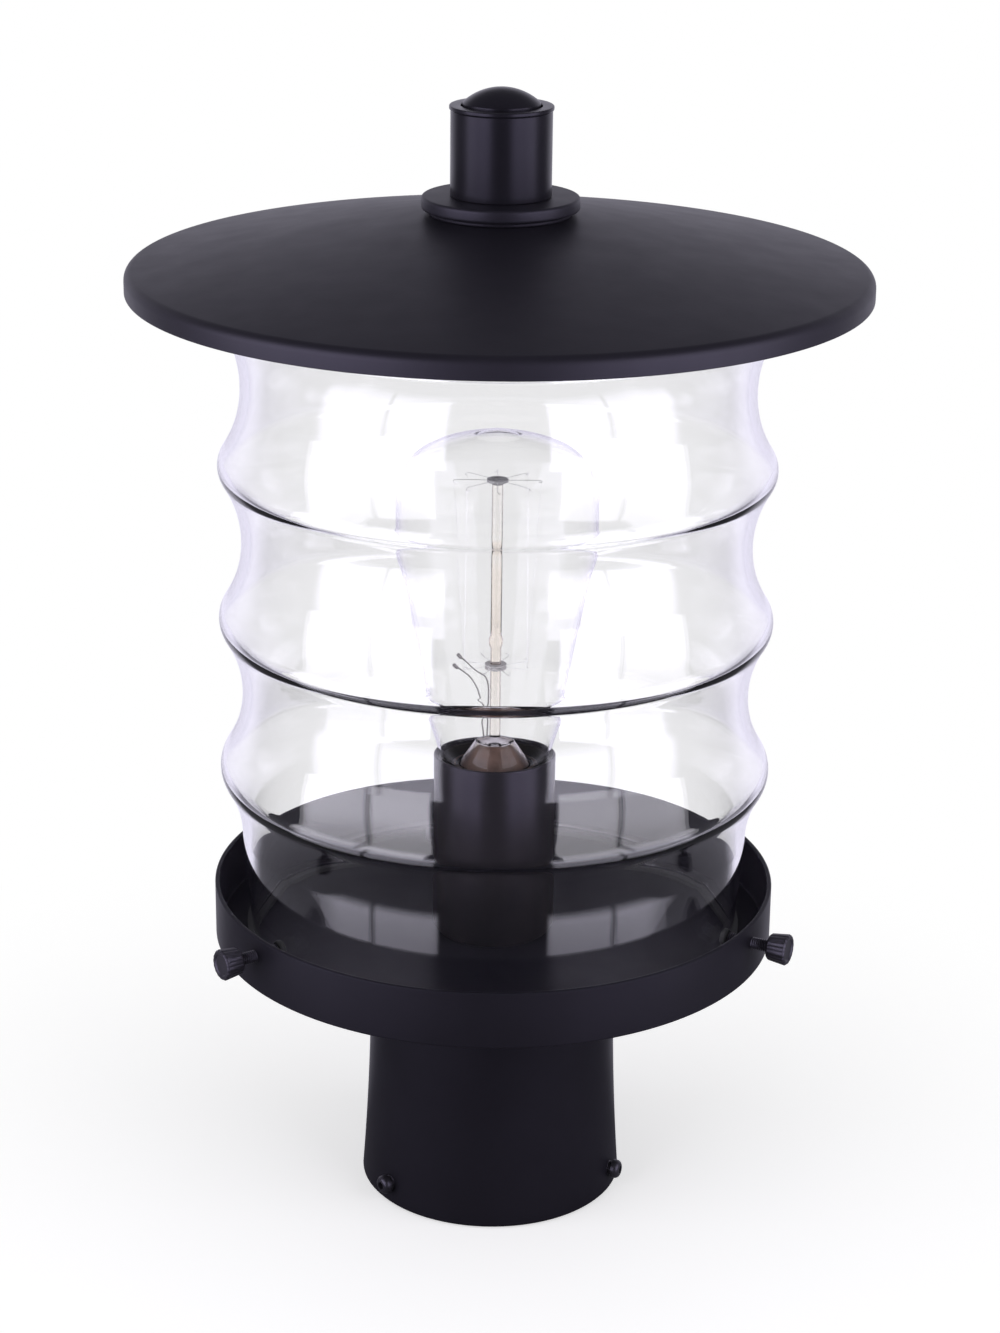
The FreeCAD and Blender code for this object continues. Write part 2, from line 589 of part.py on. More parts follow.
def flange_disc():
    low = ROOF_TOP + FLANGE_FOOT
    inner = FLANGE_RADIUS - FLANGE_ROUND
    corner = FLANGE_ROUND * math.sqrt(0.5)
    return lathe((ROD_HOLE_RADIUS, ROOF_TOP), (FLANGE_FOOT_RADIUS, ROOF_TOP),
                 (FLANGE_FOOT_RADIUS, low), (inner, low),
                 ((inner + corner, low + FLANGE_ROUND - corner), (FLANGE_RADIUS, low + FLANGE_ROUND)),
                 (FLANGE_RADIUS, FLANGE_TOP - FLANGE_ROUND),
                 ((inner + corner, FLANGE_TOP - FLANGE_ROUND + corner), (inner, FLANGE_TOP)),
                 (ROD_HOLE_RADIUS, FLANGE_TOP))


def finial_sleeve():
    inside = SLEEVE_RADIUS - SLEEVE_WALL
    rim = SLEEVE_RADIUS + SLEEVE_RIM_STEP
    rim_low = SLEEVE_TOP - SLEEVE_RIM
    web_low = WEB_TOP - SLEEVE_WEB
    foot_top = FLANGE_TOP + SLEEVE_FOOT
    body = lathe((ROD_HOLE_RADIUS, FLANGE_TOP), (SLEEVE_RADIUS, FLANGE_TOP), (SLEEVE_RADIUS, rim_low),
                 (rim, rim_low + SLEEVE_RIM_STEP), (rim, SLEEVE_TOP - SLEEVE_RIM_STEP),
                 (SLEEVE_RADIUS, SLEEVE_TOP), (inside, SLEEVE_TOP), (inside, WEB_TOP),
                 (ROD_HOLE_RADIUS, WEB_TOP))
    hollow = ring(inside, ROD_HOLE_RADIUS, foot_top, web_low)
    core = ring(ROD_HOLE_RADIUS + SLEEVE_WALL, ROD_HOLE_RADIUS, foot_top, web_low)
    return body.cut(hollow).fuse(core)


def dome_washer():
    return ring(DOME_WASHER_RADIUS, ROD_HOLE_RADIUS, WEB_TOP, DOME_BOTTOM)


def dome_nut():
    shoulder = DOME_BOTTOM + DOME_SKIRT
    hole_top = ROD_TOP + ROD_END_GAP
    return lathe((ROD_HOLE_RADIUS, DOME_BOTTOM), (DOME_RADIUS, DOME_BOTTOM),
                 (DOME_RADIUS, shoulder), cap_arc(DOME_RADIUS, shoulder, DOME_RISE), (0, hole_top),
                 (ROD_HOLE_RADIUS, hole_top))


def cap_rod():
    return disc(ROD_RADIUS, ROD_BOTTOM, ROD_TOP)


# ---------------------------------------------------------------- nipple and socket
def threaded_nipple():
    return ring(NIPPLE_RADIUS, NIPPLE_RADIUS - NIPPLE_WALL, NIPPLE_BOTTOM, NIPPLE_TOP)


def wire_grommet():
    """A bush pushed up into the lower end of the nipple, with a lip below it."""
    plug = NIPPLE_RADIUS - NIPPLE_WALL
    lip = NIPPLE_RADIUS + GROMMET_WALL
    low = NIPPLE_BOTTOM - GROMMET_LIP
    return lathe((GROMMET_BORE_RADIUS, low), (lip, low), (lip, NIPPLE_BOTTOM), (plug, NIPPLE_BOTTOM),
                 (plug, LOWER_NUT_BOTTOM), (GROMMET_BORE_RADIUS, LOWER_NUT_BOTTOM))


def socket_cover():
    inside = COVER_RADIUS - COVER_WALL
    edge = COVER_WALL / 2
    body = lathe((NIPPLE_HOLE_RADIUS, FLOOR), (COVER_RADIUS, FLOOR), (COVER_RADIUS, COVER_TOP - edge),
                 (COVER_RADIUS - edge, COVER_TOP), (inside, COVER_TOP), (inside, COVER_INSIDE),
                 (NIPPLE_HOLE_RADIUS, COVER_INSIDE))
    hole = disc(COVER_SCREW_RADIUS + RUNNING_GAP, inside - 1, COVER_RADIUS + 1)
    return body.cut(turned_to(hole, -90, COVER_SCREW_Z))


def cover_screw():
    screw = pan_head(COVER_SCREW_RADIUS, COVER_RADIUS - COVER_SCREW_TIP, COVER_SCREW_HEAD_RADIUS,
                     COVER_SCREW_HEAD)
    screw.translate(FreeCAD.Vector(0, 0, COVER_SCREW_TIP))
    return turned_to(screw, -90, COVER_SCREW_Z)


def socket_body():
    """An insulator with a hollow foot over the nipple's nut, a web that holds the contact
    and the terminals, and a cup that holds the screw shell."""
    foot = SOCKET_FOOT_RADIUS
    mouth = SOCKET_RADIUS - SOCKET_MOUTH_WALL
    mouth_low = SOCKET_TOP - SOCKET_MOUTH_DEPTH
    cup = SHELL_RADIUS + RUNNING_GAP
    body = lathe((foot, COVER_INSIDE), (SOCKET_RADIUS, COVER_INSIDE), (SOCKET_RADIUS, SOCKET_TOP),
                 (mouth, SOCKET_TOP), (mouth, mouth_low), (cup, mouth_low),
                 (cup, SOCKET_FLOOR), (0, SOCKET_FLOOR), (0, WEB_BOTTOM), (foot, WEB_BOTTOM))
    pilot = disc(COVER_SCREW_RADIUS + RUNNING_GAP, COVER_SCREW_TIP, COVER_RADIUS)
    body = body.cut(turned_to(pilot, -90, COVER_SCREW_Z))
    for side in (-1, 1):
        hole = disc(TERMINAL_RADIUS + RUNNING_GAP, WEB_BOTTOM - 1, WEB_BOTTOM + TERMINAL_DEPTH)
        hole.translate(FreeCAD.Vector(0, side * TERMINAL_DISTANCE, 0))
        body = body.cut(hole)
    return body


def socket_shell():
    bore = SHELL_RADIUS - SHELL_WALL
    top = SOCKET_TOP - SOCKET_MOUTH_DEPTH
    return ring(SHELL_RADIUS, bore, SOCKET_FLOOR, top)


def socket_contact():
    return disc(CONTACT_RADIUS, SOCKET_FLOOR, CONTACT_TOP)


def terminal_screw(side):
    """Its head faces down; side is -1 in front of the axis, +1 behind it."""
    screw = pan_head(TERMINAL_RADIUS, TERMINAL_DEPTH, TERMINAL_HEAD_RADIUS, TERMINAL_HEAD)
    screw.rotate(FreeCAD.Vector(0, 0, 0), FreeCAD.Vector(1, 0, 0), 180)
    screw.translate(FreeCAD.Vector(0, side * TERMINAL_DISTANCE, WEB_BOTTOM + TERMINAL_DEPTH))
    return screw


# ---------------------------------------------------------------- bulb
def bulb_solid(inset, bottom):
    """The bulb's envelope as one solid, moved inwards by inset."""
    side = BULB_RADIUS - inset
    turn = BULB_TURN_RADIUS - inset
    crown = BULB_CROWN_RADIUS - inset
    turn_height = BASE_RIM + BULB_WIDEST + BULB_SIDE
    turn_centre = side - turn
    drop = math.sqrt((crown - turn) ** 2 - turn_centre ** 2)
    lean = math.atan2(drop, turn_centre)
    meet = (turn_centre + turn * math.cos(lean), turn_height + turn * math.sin(lean))
    on_turn = (turn_centre + turn * math.cos(lean / 2), turn_height + turn * math.sin(lean / 2))
    crown_centre = turn_height - drop
    tip_lean = math.acos(BULB_TIP_RADIUS / crown)
    tip_foot = (BULB_TIP_RADIUS, crown_centre + crown * math.sin(tip_lean))
    between = (lean + tip_lean) / 2
    on_crown = (crown * math.cos(between), crown_centre + crown * math.sin(between))
    neck = BULB_NECK_RADIUS - inset
    throat = (BULB_THROAT_RADIUS - inset, BASE_RIM + BULB_THROAT)
    flare = throat[0] - neck
    bow = BULB_THROAT_BOW / math.hypot(flare, BULB_THROAT)
    throat_middle = ((neck + throat[0]) / 2 + bow * BULB_THROAT,
                     BASE_RIM + BULB_THROAT / 2 - bow * flare)
    taper = (BULB_TAPER_RADIUS - inset, BASE_RIM + BULB_TAPER)
    shoulder = (BULB_SHOULDER_RADIUS - inset, BASE_RIM + BULB_SHOULDER)
    widest = (side, BASE_RIM + BULB_WIDEST)
    swell = swell_into(side, shoulder, widest[1])
    return lathe((0, bottom), (neck, bottom), (neck, BASE_RIM), (throat_middle, throat), taper,
                 shoulder, (swell, widest), (side, turn_height), (on_turn, meet),
                 (on_crown, tip_foot), cap_arc(BULB_TIP_RADIUS, tip_foot[1], BULB_TIP))


def bulb_glass():
    bottom = BASE_RIM - BULB_NECK
    return bulb_solid(0.0, bottom).cut(bulb_solid(BULB_WALL, bottom - 1))


def bulb_base_shell():
    inner = BASE_RADIUS - BASE_SHEET
    end = BASE_END_RADIUS
    start = BASE_END + BASE_TAPER
    return lathe((end, BASE_END), (BASE_RADIUS, start), (BASE_RADIUS, BASE_RIM), (inner, BASE_RIM),
                 (inner, start + BASE_SHEET / 2), (end - BASE_SHEET, BASE_END + BASE_SHEET),
                 (BASE_CONTACT_RADIUS, BASE_END + BASE_SHEET), (BASE_CONTACT_RADIUS, BASE_END))


def bulb_base_insulator():
    low = BASE_END - BASE_INSULATOR
    return lathe((0, low), (BASE_CONTACT_RADIUS, low), (BASE_END_RADIUS, BASE_END), (0, BASE_END))


def bulb_base_contact():
    return disc(BASE_CONTACT_RADIUS, CONTACT_TOP, CONTACT_TOP + BASE_CONTACT)


def bulb_stem():
    """A glass rod on a flared foot whose rim meets the inside of the bulb's neck."""
    rod_top = BASE_RIM + STEM_TOP
    flare = BASE_RIM + STEM_FLARE_TOP
    skirt = BULB_NECK_RADIUS - BULB_WALL - RUNNING_GAP
    foot = BASE_RIM - STEM_SKIRT
    return lathe((0, rod_top), (STEM_RADIUS, rod_top), (STEM_RADIUS, flare + STEM_RADIUS),
                 (STEM_FLARE_RADIUS, flare), (skirt, BASE_RIM), (skirt, foot),
                 (skirt - STEM_SKIRT_WALL, foot), (skirt - STEM_SKIRT_WALL, BASE_RIM),
                 (STEM_FLARE_RADIUS - STEM_SKIRT_WALL, flare - STEM_SKIRT_WALL),
                 (0, flare - STEM_SKIRT_WALL))


def bulb_button():
    low = BASE_RIM + STEM_TOP
    edge = BUTTON / 4
    return lathe((0, low), (BUTTON_RADIUS - edge, low), (BUTTON_RADIUS, low + edge),
                 (BUTTON_RADIUS, low + BUTTON - edge), (BUTTON_RADIUS - edge, low + BUTTON),
                 (0, low + BUTTON))


def bulb_collar():
    low = BASE_RIM + COLLAR_HEIGHT
    return ring(COLLAR_RADIUS, STEM_RADIUS + RUNNING_GAP, low, low + COLLAR)


def hook_points():
    """The ends of the support wires, top and bottom, in turn round the bulb."""
    upper = BASE_RIM + STEM_TOP + BUTTON / 2
    lower = BASE_RIM + COLLAR_HEIGHT + COLLAR / 2
    tops = []
    bottoms = []
    for angle in angles_around(0.0, HOOKS_AROUND):
        tops.append(around(UPPER_HOOKS_RADIUS, angle, upper))
        bottoms.append(around(LOWER_HOOKS_RADIUS, angle + 180.0 / HOOKS_AROUND, lower))
    return tops, bottoms


def support_spokes(ends, hub):
    """Wires that hold the filament, from a hub of that radius out to each end."""
    spokes = []
    for end in ends:
        inner = FreeCAD.Vector(end.x, end.y, 0).normalize().multiply(hub)
        start = FreeCAD.Vector(inner.x, inner.y, end.z)
        spokes.append(rod_between(start, end, WIRE_RADIUS))
    return Part.makeCompound(spokes)


def bulb_filament():
    """One wire that zigzags between the upper and lower supports all the way round."""
    tops, bottoms = hook_points()
    seat = FreeCAD.Vector(0, 0, WIRE_RADIUS * 2)
    path = []
    for top, bottom in zip(tops, bottoms):
        path.append(top.sub(seat))
        path.append(bottom.add(seat))
    return wire_through(path, WIRE_RADIUS)


def bulb_lead_wire(angle, drop):
    """A wire from the flare to a crimp beside the lower supports, set lower by drop."""
    flare = BASE_RIM + STEM_FLARE_TOP
    outwards = STEM_FLARE_RADIUS - LEAD_FOOT_DISTANCE + LEAD_RADIUS
    foot = flare + STEM_RADIUS * outwards / (STEM_FLARE_RADIUS - STEM_RADIUS)
    path = [around(LEAD_FOOT_DISTANCE, angle, foot),
            around(LEAD_FOOT_DISTANCE, angle, flare + LEAD_UPRIGHT),
            around(LEAD_CRIMP_DISTANCE, angle, flare + LEAD_RISE - drop)]
    wire = wire_through(path, LEAD_RADIUS)
    return wire.fuse(Part.makeSphere(LEAD_CRIMP_RADIUS, path[-1]))


# ---------------------------------------------------------------- the assembly
def pieces():
    """Every node's name and shape."""
    upper_hooks, lower_hooks = hook_points()
    nodes = {
        "post_fitter": post_fitter(),
        "shade_pan": shade_pan(),
        "seat_gasket": seat_gasket(),
        "ground_screw": ground_screw(),
        "threaded_nipple": threaded_nipple(),
        "wire_grommet": wire_grommet(),
        "lower_lock_washer": ring(NIPPLE_WASHER_RADIUS, NIPPLE_HOLE_RADIUS, LOWER_WASHER_BOTTOM,
                                  PLATE_BOTTOM),
        "lower_lock_nut": hexagon(NIPPLE_NUT_FLATS, NIPPLE_HOLE_RADIUS, LOWER_NUT_BOTTOM,
                                  LOWER_WASHER_BOTTOM),
        "upper_lock_washer": ring(NIPPLE_WASHER_RADIUS, NIPPLE_HOLE_RADIUS, COVER_INSIDE,
                                  UPPER_NUT_BOTTOM),
        "upper_lock_nut": hexagon(NIPPLE_NUT_FLATS, NIPPLE_HOLE_RADIUS, UPPER_NUT_BOTTOM,
                                  UPPER_NUT_BOTTOM + NIPPLE_NUT),
        "socket_cover": socket_cover(),
        "cover_screw": cover_screw(),
        "socket_body": socket_body(),
        "socket_shell": socket_shell(),
        "socket_contact": socket_contact(),
        "front_terminal_screw": terminal_screw(-1),
        "back_terminal_screw": terminal_screw(1),
        "bulb_glass": bulb_glass(),
        "bulb_stem": bulb_stem(),
        "bulb_button": bulb_button(),
        "bulb_collar": bulb_collar(),
        "bulb_upper_supports": support_spokes(upper_hooks, BUTTON_RADIUS),
        "bulb_lower_supports": support_spokes(lower_hooks, COLLAR_RADIUS),
        "bulb_filament": bulb_filament(),
        "bulb_lead_wire_1": bulb_lead_wire(LEAD_ANGLE + LEAD_SPREAD / 2, 0),
        "bulb_lead_wire_2": bulb_lead_wire(LEAD_ANGLE - LEAD_SPREAD / 2, LEAD_STEP),
        "bulb_base_shell": bulb_base_shell(),
        "bulb_base_insulator": bulb_base_insulator(),
        "bulb_base_contact": bulb_base_contact(),
        "glass_shade": glass_shade(),
        "glass_bush": ring(SHADE_HOLE_RADIUS - RUNNING_GAP, ROD_HOLE_RADIUS, GLASS_CEILING,
                           GLASS_TOP),
        "inner_gasket": ring(STACK_RADIUS, ROD_HOLE_RADIUS, INNER_GASKET_BOTTOM, GLASS_CEILING),
        "inner_washer": ring(STACK_RADIUS, ROD_HOLE_RADIUS, INNER_WASHER_BOTTOM, INNER_GASKET_BOTTOM),
        "inner_nut": hexagon(ROD_NUT_FLATS, ROD_HOLE_RADIUS, ROD_NUT_BOTTOM, INNER_WASHER_BOTTOM),
        "outer_gasket": ring(STACK_RADIUS, ROD_HOLE_RADIUS, GLASS_TOP, SPACER_BOTTOM),
        "roof_spacer": ring(SPACER_RADIUS, ROD_HOLE_RADIUS, SPACER_BOTTOM, ROOF_UNDERSIDE),
        "roof_cap": roof_cap(),
        "flange_disc": flange_disc(),
        "finial_sleeve": finial_sleeve(),
        "cap_rod": cap_rod(),
        "dome_washer": dome_washer(),
        "dome_nut": dome_nut(),
    }
    set_angles = angles_around(SET_SCREW_FIRST_ANGLE, SCREW_COUNT)
    thumb_angles = angles_around(THUMB_FIRST_ANGLE, SCREW_COUNT)
    for number, angle in enumerate(set_angles, start=1):
        nodes["set_screw_%d" % number] = set_screw(angle)
    for number, angle in enumerate(thumb_angles, start=1):
        nodes["thumb_screw_%d" % number] = thumb_screw(angle)
        nodes["thumb_screw_tip_%d" % number] = thumb_screw_tip(angle)
    return nodes


os.makedirs("parts", exist_ok=True)
for name, shape in pieces().items():
    shape.exportStep("parts/%s.step" % name)
    print("%-22s solids %2d  valid %s  volume %10.1f mm3" % (
        name, len(shape.Solids), shape.isValid(), shape.Volume))
print("thumb screw tips stand %.2f mm from the axis" % thumb_tip_face())
print("overall height %.1f mm" % (DOME_BOTTOM + DOME_SKIRT + DOME_RISE))
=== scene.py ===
"""The look of a post-top lantern: black powder-coated metal, a clear ribbed glass cylinder and
a vintage-style bulb, on a pale floor in soft studio light.

Lengths are written in millimetres and turned into metres when a mesh is made.  +Z is up and
the front looks along -Y; radii and heights are measured from the axis and the post's end.
"""
import json
import math

import bmesh
import bpy
from mathutils import Matrix, Vector

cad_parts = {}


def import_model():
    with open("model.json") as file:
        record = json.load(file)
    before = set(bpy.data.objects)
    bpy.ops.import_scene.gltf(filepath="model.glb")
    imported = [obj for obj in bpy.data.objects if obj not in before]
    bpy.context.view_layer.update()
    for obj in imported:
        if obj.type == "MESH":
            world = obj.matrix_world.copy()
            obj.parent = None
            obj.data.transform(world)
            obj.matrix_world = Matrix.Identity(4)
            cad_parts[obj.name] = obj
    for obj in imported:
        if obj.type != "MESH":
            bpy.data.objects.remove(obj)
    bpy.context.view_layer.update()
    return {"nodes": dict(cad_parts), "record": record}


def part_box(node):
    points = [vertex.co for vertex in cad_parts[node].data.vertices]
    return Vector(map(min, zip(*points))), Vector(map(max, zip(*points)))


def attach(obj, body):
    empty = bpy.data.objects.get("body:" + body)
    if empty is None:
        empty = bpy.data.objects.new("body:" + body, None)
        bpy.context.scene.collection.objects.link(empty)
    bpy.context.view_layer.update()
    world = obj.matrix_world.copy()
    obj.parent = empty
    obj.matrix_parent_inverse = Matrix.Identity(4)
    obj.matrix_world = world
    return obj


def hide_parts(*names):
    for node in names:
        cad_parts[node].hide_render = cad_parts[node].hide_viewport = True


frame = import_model()

MM = 0.001
AROUND = 192                  # facets of large round pieces
AROUND_SMALL = 64             # facets of small ones
SHARP_ANGLE = math.radians(32)
THREAD_POINTS = 6             # points up each turn of a thread
ON_AXIS = 1e-6                # a smaller radius or length than this counts as none
KEPT_BEND = math.radians(25)  # corners that bend less than this stay sharp


# ---------------------------------------------------------------- where the frame puts things
def low(node):
    """Height of a node's underside, in millimetres."""
    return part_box(node)[0].z / MM


def high(node):
    """Height of a node's top, in millimetres."""
    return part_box(node)[1].z / MM


def ends(node):
    return low(node), high(node)


def reach(node):
    """Radius of a node that is round about the axis, in millimetres."""
    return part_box(node)[1].x / MM


# ---------------------------------------------------------------- outlines
def arc(start, through, end, count):
    """Points after start on the arc through three points, the last one at its end."""
    ax, ay = start
    bx, by = through
    cx, cy = end
    twice = 2 * (ax * (by - cy) + bx * (cy - ay) + cx * (ay - by))
    a2, b2, c2 = ax * ax + ay * ay, bx * bx + by * by, cx * cx + cy * cy
    ox = (a2 * (by - cy) + b2 * (cy - ay) + c2 * (ay - by)) / twice
    oy = (a2 * (cx - bx) + b2 * (ax - cx) + c2 * (bx - ax)) / twice
    radius = math.hypot(ax - ox, ay - oy)
    first = math.atan2(ay - oy, ax - ox)
    turn = (math.atan2(cy - oy, cx - ox) - first) % math.tau
    if (math.atan2(by - oy, bx - ox) - first) % math.tau > turn:
        turn -= math.tau
    points = []
    for step in range(1, count + 1):
        angle = first + turn * step / count
        points.append((ox + radius * math.cos(angle), oy + radius * math.sin(angle)))
    return points


def path(start, *steps, count=10):
    """An outline from points and arcs: a step is a point, or a pair of points, one that the
    arc passes through and one that it ends at."""
    points = [start]
    for step in steps:
        if isinstance(step[0], tuple):
            points += arc(points[-1], step[0], step[1], count)
        else:
            points.append(step)
    return points


def softened(points, radius, count=4):
    """The closed outline with each of its sharp corners rounded off, except on the axis."""
    result = []
    total = len(points)
    for index in range(total):
        corner = Vector(points[index])
        before = Vector(points[index - 1]) - corner
        after = Vector(points[(index + 1) % total]) - corner
        if min(corner.x, before.length, after.length) < ON_AXIS:
            result.append(tuple(corner))
            continue
        bend = math.pi - before.angle(after)
        if bend < KEPT_BEND:
            result.append(tuple(corner))
            continue
        setback = radius * math.tan(bend / 2)
        setback = min(setback, before.length * 0.45, after.length * 0.45)
        start = corner + before.normalized() * setback
        end = corner + after.normalized() * setback
        for step in range(count + 1):
            share = step / count
            result.append(tuple(start.lerp(corner, share).lerp(corner.lerp(end, share), share)))
    return result


# ---------------------------------------------------------------- pieces
def placed(name, data):
    """A new object in the scene."""
    item = bpy.data.objects.new(name, data)
    bpy.context.scene.collection.objects.link(item)
    return item


def smoothed(mesh):
    for face in mesh.polygons:
        face.use_smooth = True
    mesh.set_sharp_from_angle(angle=SHARP_ANGLE)


def as_mesh(name, work):
    mesh = bpy.data.meshes.new(name)
    work.to_mesh(mesh)
    work.free()
    return mesh


def joined(name, meshes):
    """Several meshes as one."""
    work = bmesh.new()
    for one in meshes:
        work.from_mesh(one)
    return as_mesh(name, work)


def finished(name, mesh, look, body, replaced=()):
    """A named object from a mesh, smooth, with its material, on its body."""
    smoothed(mesh)
    piece = placed(name, mesh)
    mesh.materials.append(LOOKS[look])
    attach(piece, body)
    if replaced:
        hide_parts(*replaced)
    return piece


def turned_mesh(name, outline, around=AROUND, form=None):
    """A closed outline turned about Z into a mesh; form(radius, height, angle) may shape it."""
    work = bmesh.new()
    rings = []
    for radius, height in outline:
        if radius < ON_AXIS:
            rings.append([work.verts.new((0, 0, height * MM))])
            continue
        ring = []
        for step in range(around):
            angle = math.tau * step / around
            far = (form(radius, height, angle) if form else radius) * MM
            ring.append(work.verts.new((far * math.cos(angle), far * math.sin(angle), height * MM)))
        rings.append(ring)
    for one, two in zip(rings, rings[1:] + rings[:1]):
        if len(one) == 1 and len(two) == 1:
            continue
        for step in range(around):
            after = (step + 1) % around
            if len(one) == 1:
                work.faces.new((one[0], two[after], two[step]))
            elif len(two) == 1:
                work.faces.new((one[step], one[after], two[0]))
            else:
                work.faces.new((one[step], one[after], two[after], two[step]))
    bmesh.ops.recalc_face_normals(work, faces=work.faces)
    return as_mesh(name, work)


def turned(name, outline, look, body, replaced=(), around=AROUND, form=None):
    return finished(name, turned_mesh(name, outline, around, form), look, body, replaced)


def laid_out(mesh, angle, height):
    """Lays a mesh drawn along +Z so that it points outwards at an angle from the front."""
    mesh.transform(Matrix.Rotation(math.radians(angle), 4, "Z")
                   @ Matrix.Rotation(math.radians(90), 4, "X"))
    mesh.transform(Matrix.Translation((0, 0, height * MM)))
    return mesh


def thread(crest, root, start, end, pitch):
    """Points up a screw's side, from start to end, that swing between its crest and root."""
    count = max(1, round(abs(end - start) / pitch * THREAD_POINTS))
    points = []
    for step in range(count + 1):
        height = start + (end - start) * step / count
        swing = 0.5 + 0.5 * math.cos(math.tau * (height - start) / pitch)
        points.append((root + (crest - root) * swing, height))
    return points


def hexagonal(angle):
    """How much further out a hexagon's side lies at an angle than the middle of its flat."""
    return 1 / math.cos((angle + math.pi / 6) % (math.pi / 3) - math.pi / 6)


def drilled(piece, radius, angles, height, start, end):
    """Cuts round holes through a piece's wall, at some angles from the front."""
    outline = [(0, start), (radius, start), (radius, end), (0, end)]
    drills = placed("drills", joined("drills", [
        laid_out(turned_mesh("drill", outline, AROUND_SMALL), angle, height) for angle in angles]))
    cut = piece.modifiers.new("holes", "BOOLEAN")
    cut.operation = "DIFFERENCE"
    cut.solver = "EXACT"
    cut.object = drills
    bpy.context.view_layer.update()
    shaped = piece.evaluated_get(bpy.context.evaluated_depsgraph_get())
    holed = bpy.data.meshes.new_from_object(shaped)
    piece.modifiers.clear()
    piece.data = holed
    smoothed(holed)
    bpy.data.objects.remove(drills)


def wires(name, routes, radius, look, body, replaced=(), bend=3):
    """Round wires along smooth lines near their routes' points, in one piece."""
    data = bpy.data.curves.new(name, "CURVE")
    data.dimensions = "3D"
    data.bevel_depth = radius * MM
    data.bevel_resolution = 2
    data.use_fill_caps = True
    data.resolution_u = 6
    for route in routes:
        line = data.splines.new("NURBS" if bend > 2 else "POLY")
        line.points.add(len(route) - 1)
        for knot, place in zip(line.points, route):
            knot.co = (place[0] * MM, place[1] * MM, place[2] * MM, 1)
        if bend > 2:
            line.order_u = bend
            line.use_endpoint_u = True
    drawn = placed(name + "_line", data)
    bpy.context.view_layer.update()
    shaped = drawn.evaluated_get(bpy.context.evaluated_depsgraph_get())
    mesh = bpy.data.meshes.new_from_object(shaped)
    bpy.data.objects.remove(drawn)
    mesh.materials.clear()
    return finished(name, mesh, look, body, replaced)


def spot(distance, angle, height):
    """A point at a distance from the axis, at an angle from the front, growing towards +X."""
    turn = math.radians(angle - 90)
    return distance * math.cos(turn), distance * math.sin(turn), height


SLOTS = {row["node"]: row["material_slot"] for row in frame["record"]["subparts"]}
SLOTS.update(base_cement=SLOTS["bulb_base_insulator"], base_rim=SLOTS["bulb_base_insulator"],
             lead_crimp_1=SLOTS["bulb_lead_wire_1"], lead_crimp_2=SLOTS["bulb_lead_wire_2"],
             screw_collars=SLOTS["shade_pan"])


# ---------------------------------------------------------------- materials
def fill(tree, node, inputs):
    """Gives a node its inputs, by name or place, from sockets or plain values."""
    for key, value in inputs.items():
        if isinstance(value, bpy.types.NodeSocket):
            tree.links.new(value, node.inputs[key])
        else:
            node.inputs[key].default_value = value


def add(tree, kind, inputs=None, **settings):
    made = tree.nodes.new("ShaderNode" + kind)
    for key, value in settings.items():
        setattr(made, key, value)
    fill(tree, made, inputs or {})
    return made


def new_material(name):
    material = bpy.data.materials.new(name)
    material.use_nodes = True
    tree = material.node_tree
    return material, tree, tree.nodes["Principled BSDF"]


def noise(tree, scale, detail=2.0, stretch=(1, 1, 1)):
    """A noise texture in the object's own space; scale counts its features per metre."""
    place = add(tree, "TexCoord").outputs["Object"]
    mapping = add(tree, "Mapping", {"Vector": place, "Scale": stretch})
    return add(tree, "TexNoise", {"Vector": mapping.outputs["Vector"], "Scale": scale,
                                  "Detail": detail}).outputs["Fac"]


def stepped(tree, value, start, end, low_value=0.0, high_value=1.0, kind="LINEAR"):
    """A value between start and end, mapped to lie between two others."""
    return add(tree, "MapRange", {"From Min": start, "From Max": end, "To Min": low_value,
                                  "To Max": high_value, "Value": value},
               interpolation_type=kind).outputs["Result"]


def smooth_step(tree, value, start, end, low_value=0.0, high_value=1.0):
    return stepped(tree, value, start, end, low_value, high_value, "SMOOTHSTEP")


def ranged(tree, value, start, end):
    """A 0.3 to 0.7 noise value spread over start to end."""
    return stepped(tree, value, 0.3, 0.7, start, end)


def two_tone(tree, value, one, two):
    ramp = add(tree, "ValToRGB", {"Fac": value})
    for stop, place, tone in zip(ramp.color_ramp.elements, (0.35, 0.65), (one, two)):
        stop.position = place
        stop.color = (*tone, 1)
    return ramp.outputs["Color"]


def math_node(tree, operation, first, *others):
    """Math nodes on sockets or plain numbers, two at a time from the left; gives the output."""
    if not others:
        return add(tree, "Math", {0: first}, operation=operation).outputs["Value"]
    for other in others:
        first = add(tree, "Math", {0: first, 1: other}, operation=operation).outputs["Value"]
    return first


def colour_mix(tree, factor, one, two):
    return add(tree, "Mix", {0: factor, 6: one, 7: two}, data_type="RGBA").outputs[2]


def shader_mix(tree, factor, one, two):
    return add(tree, "MixShader", {"Fac": factor, 1: one, 2: two}).outputs["Shader"]


def glow(tree, strength, colour=(1, 1, 1, 1)):
    return add(tree, "Emission", {"Strength": strength, "Color": colour}).outputs["Emission"]


def bump(tree, value, strength, height_mm, before=None):
    inputs = {"Strength": strength, "Distance": height_mm * MM, "Height": value}
    if before:
        inputs["Normal"] = before
    return add(tree, "Bump", inputs).outputs["Normal"]


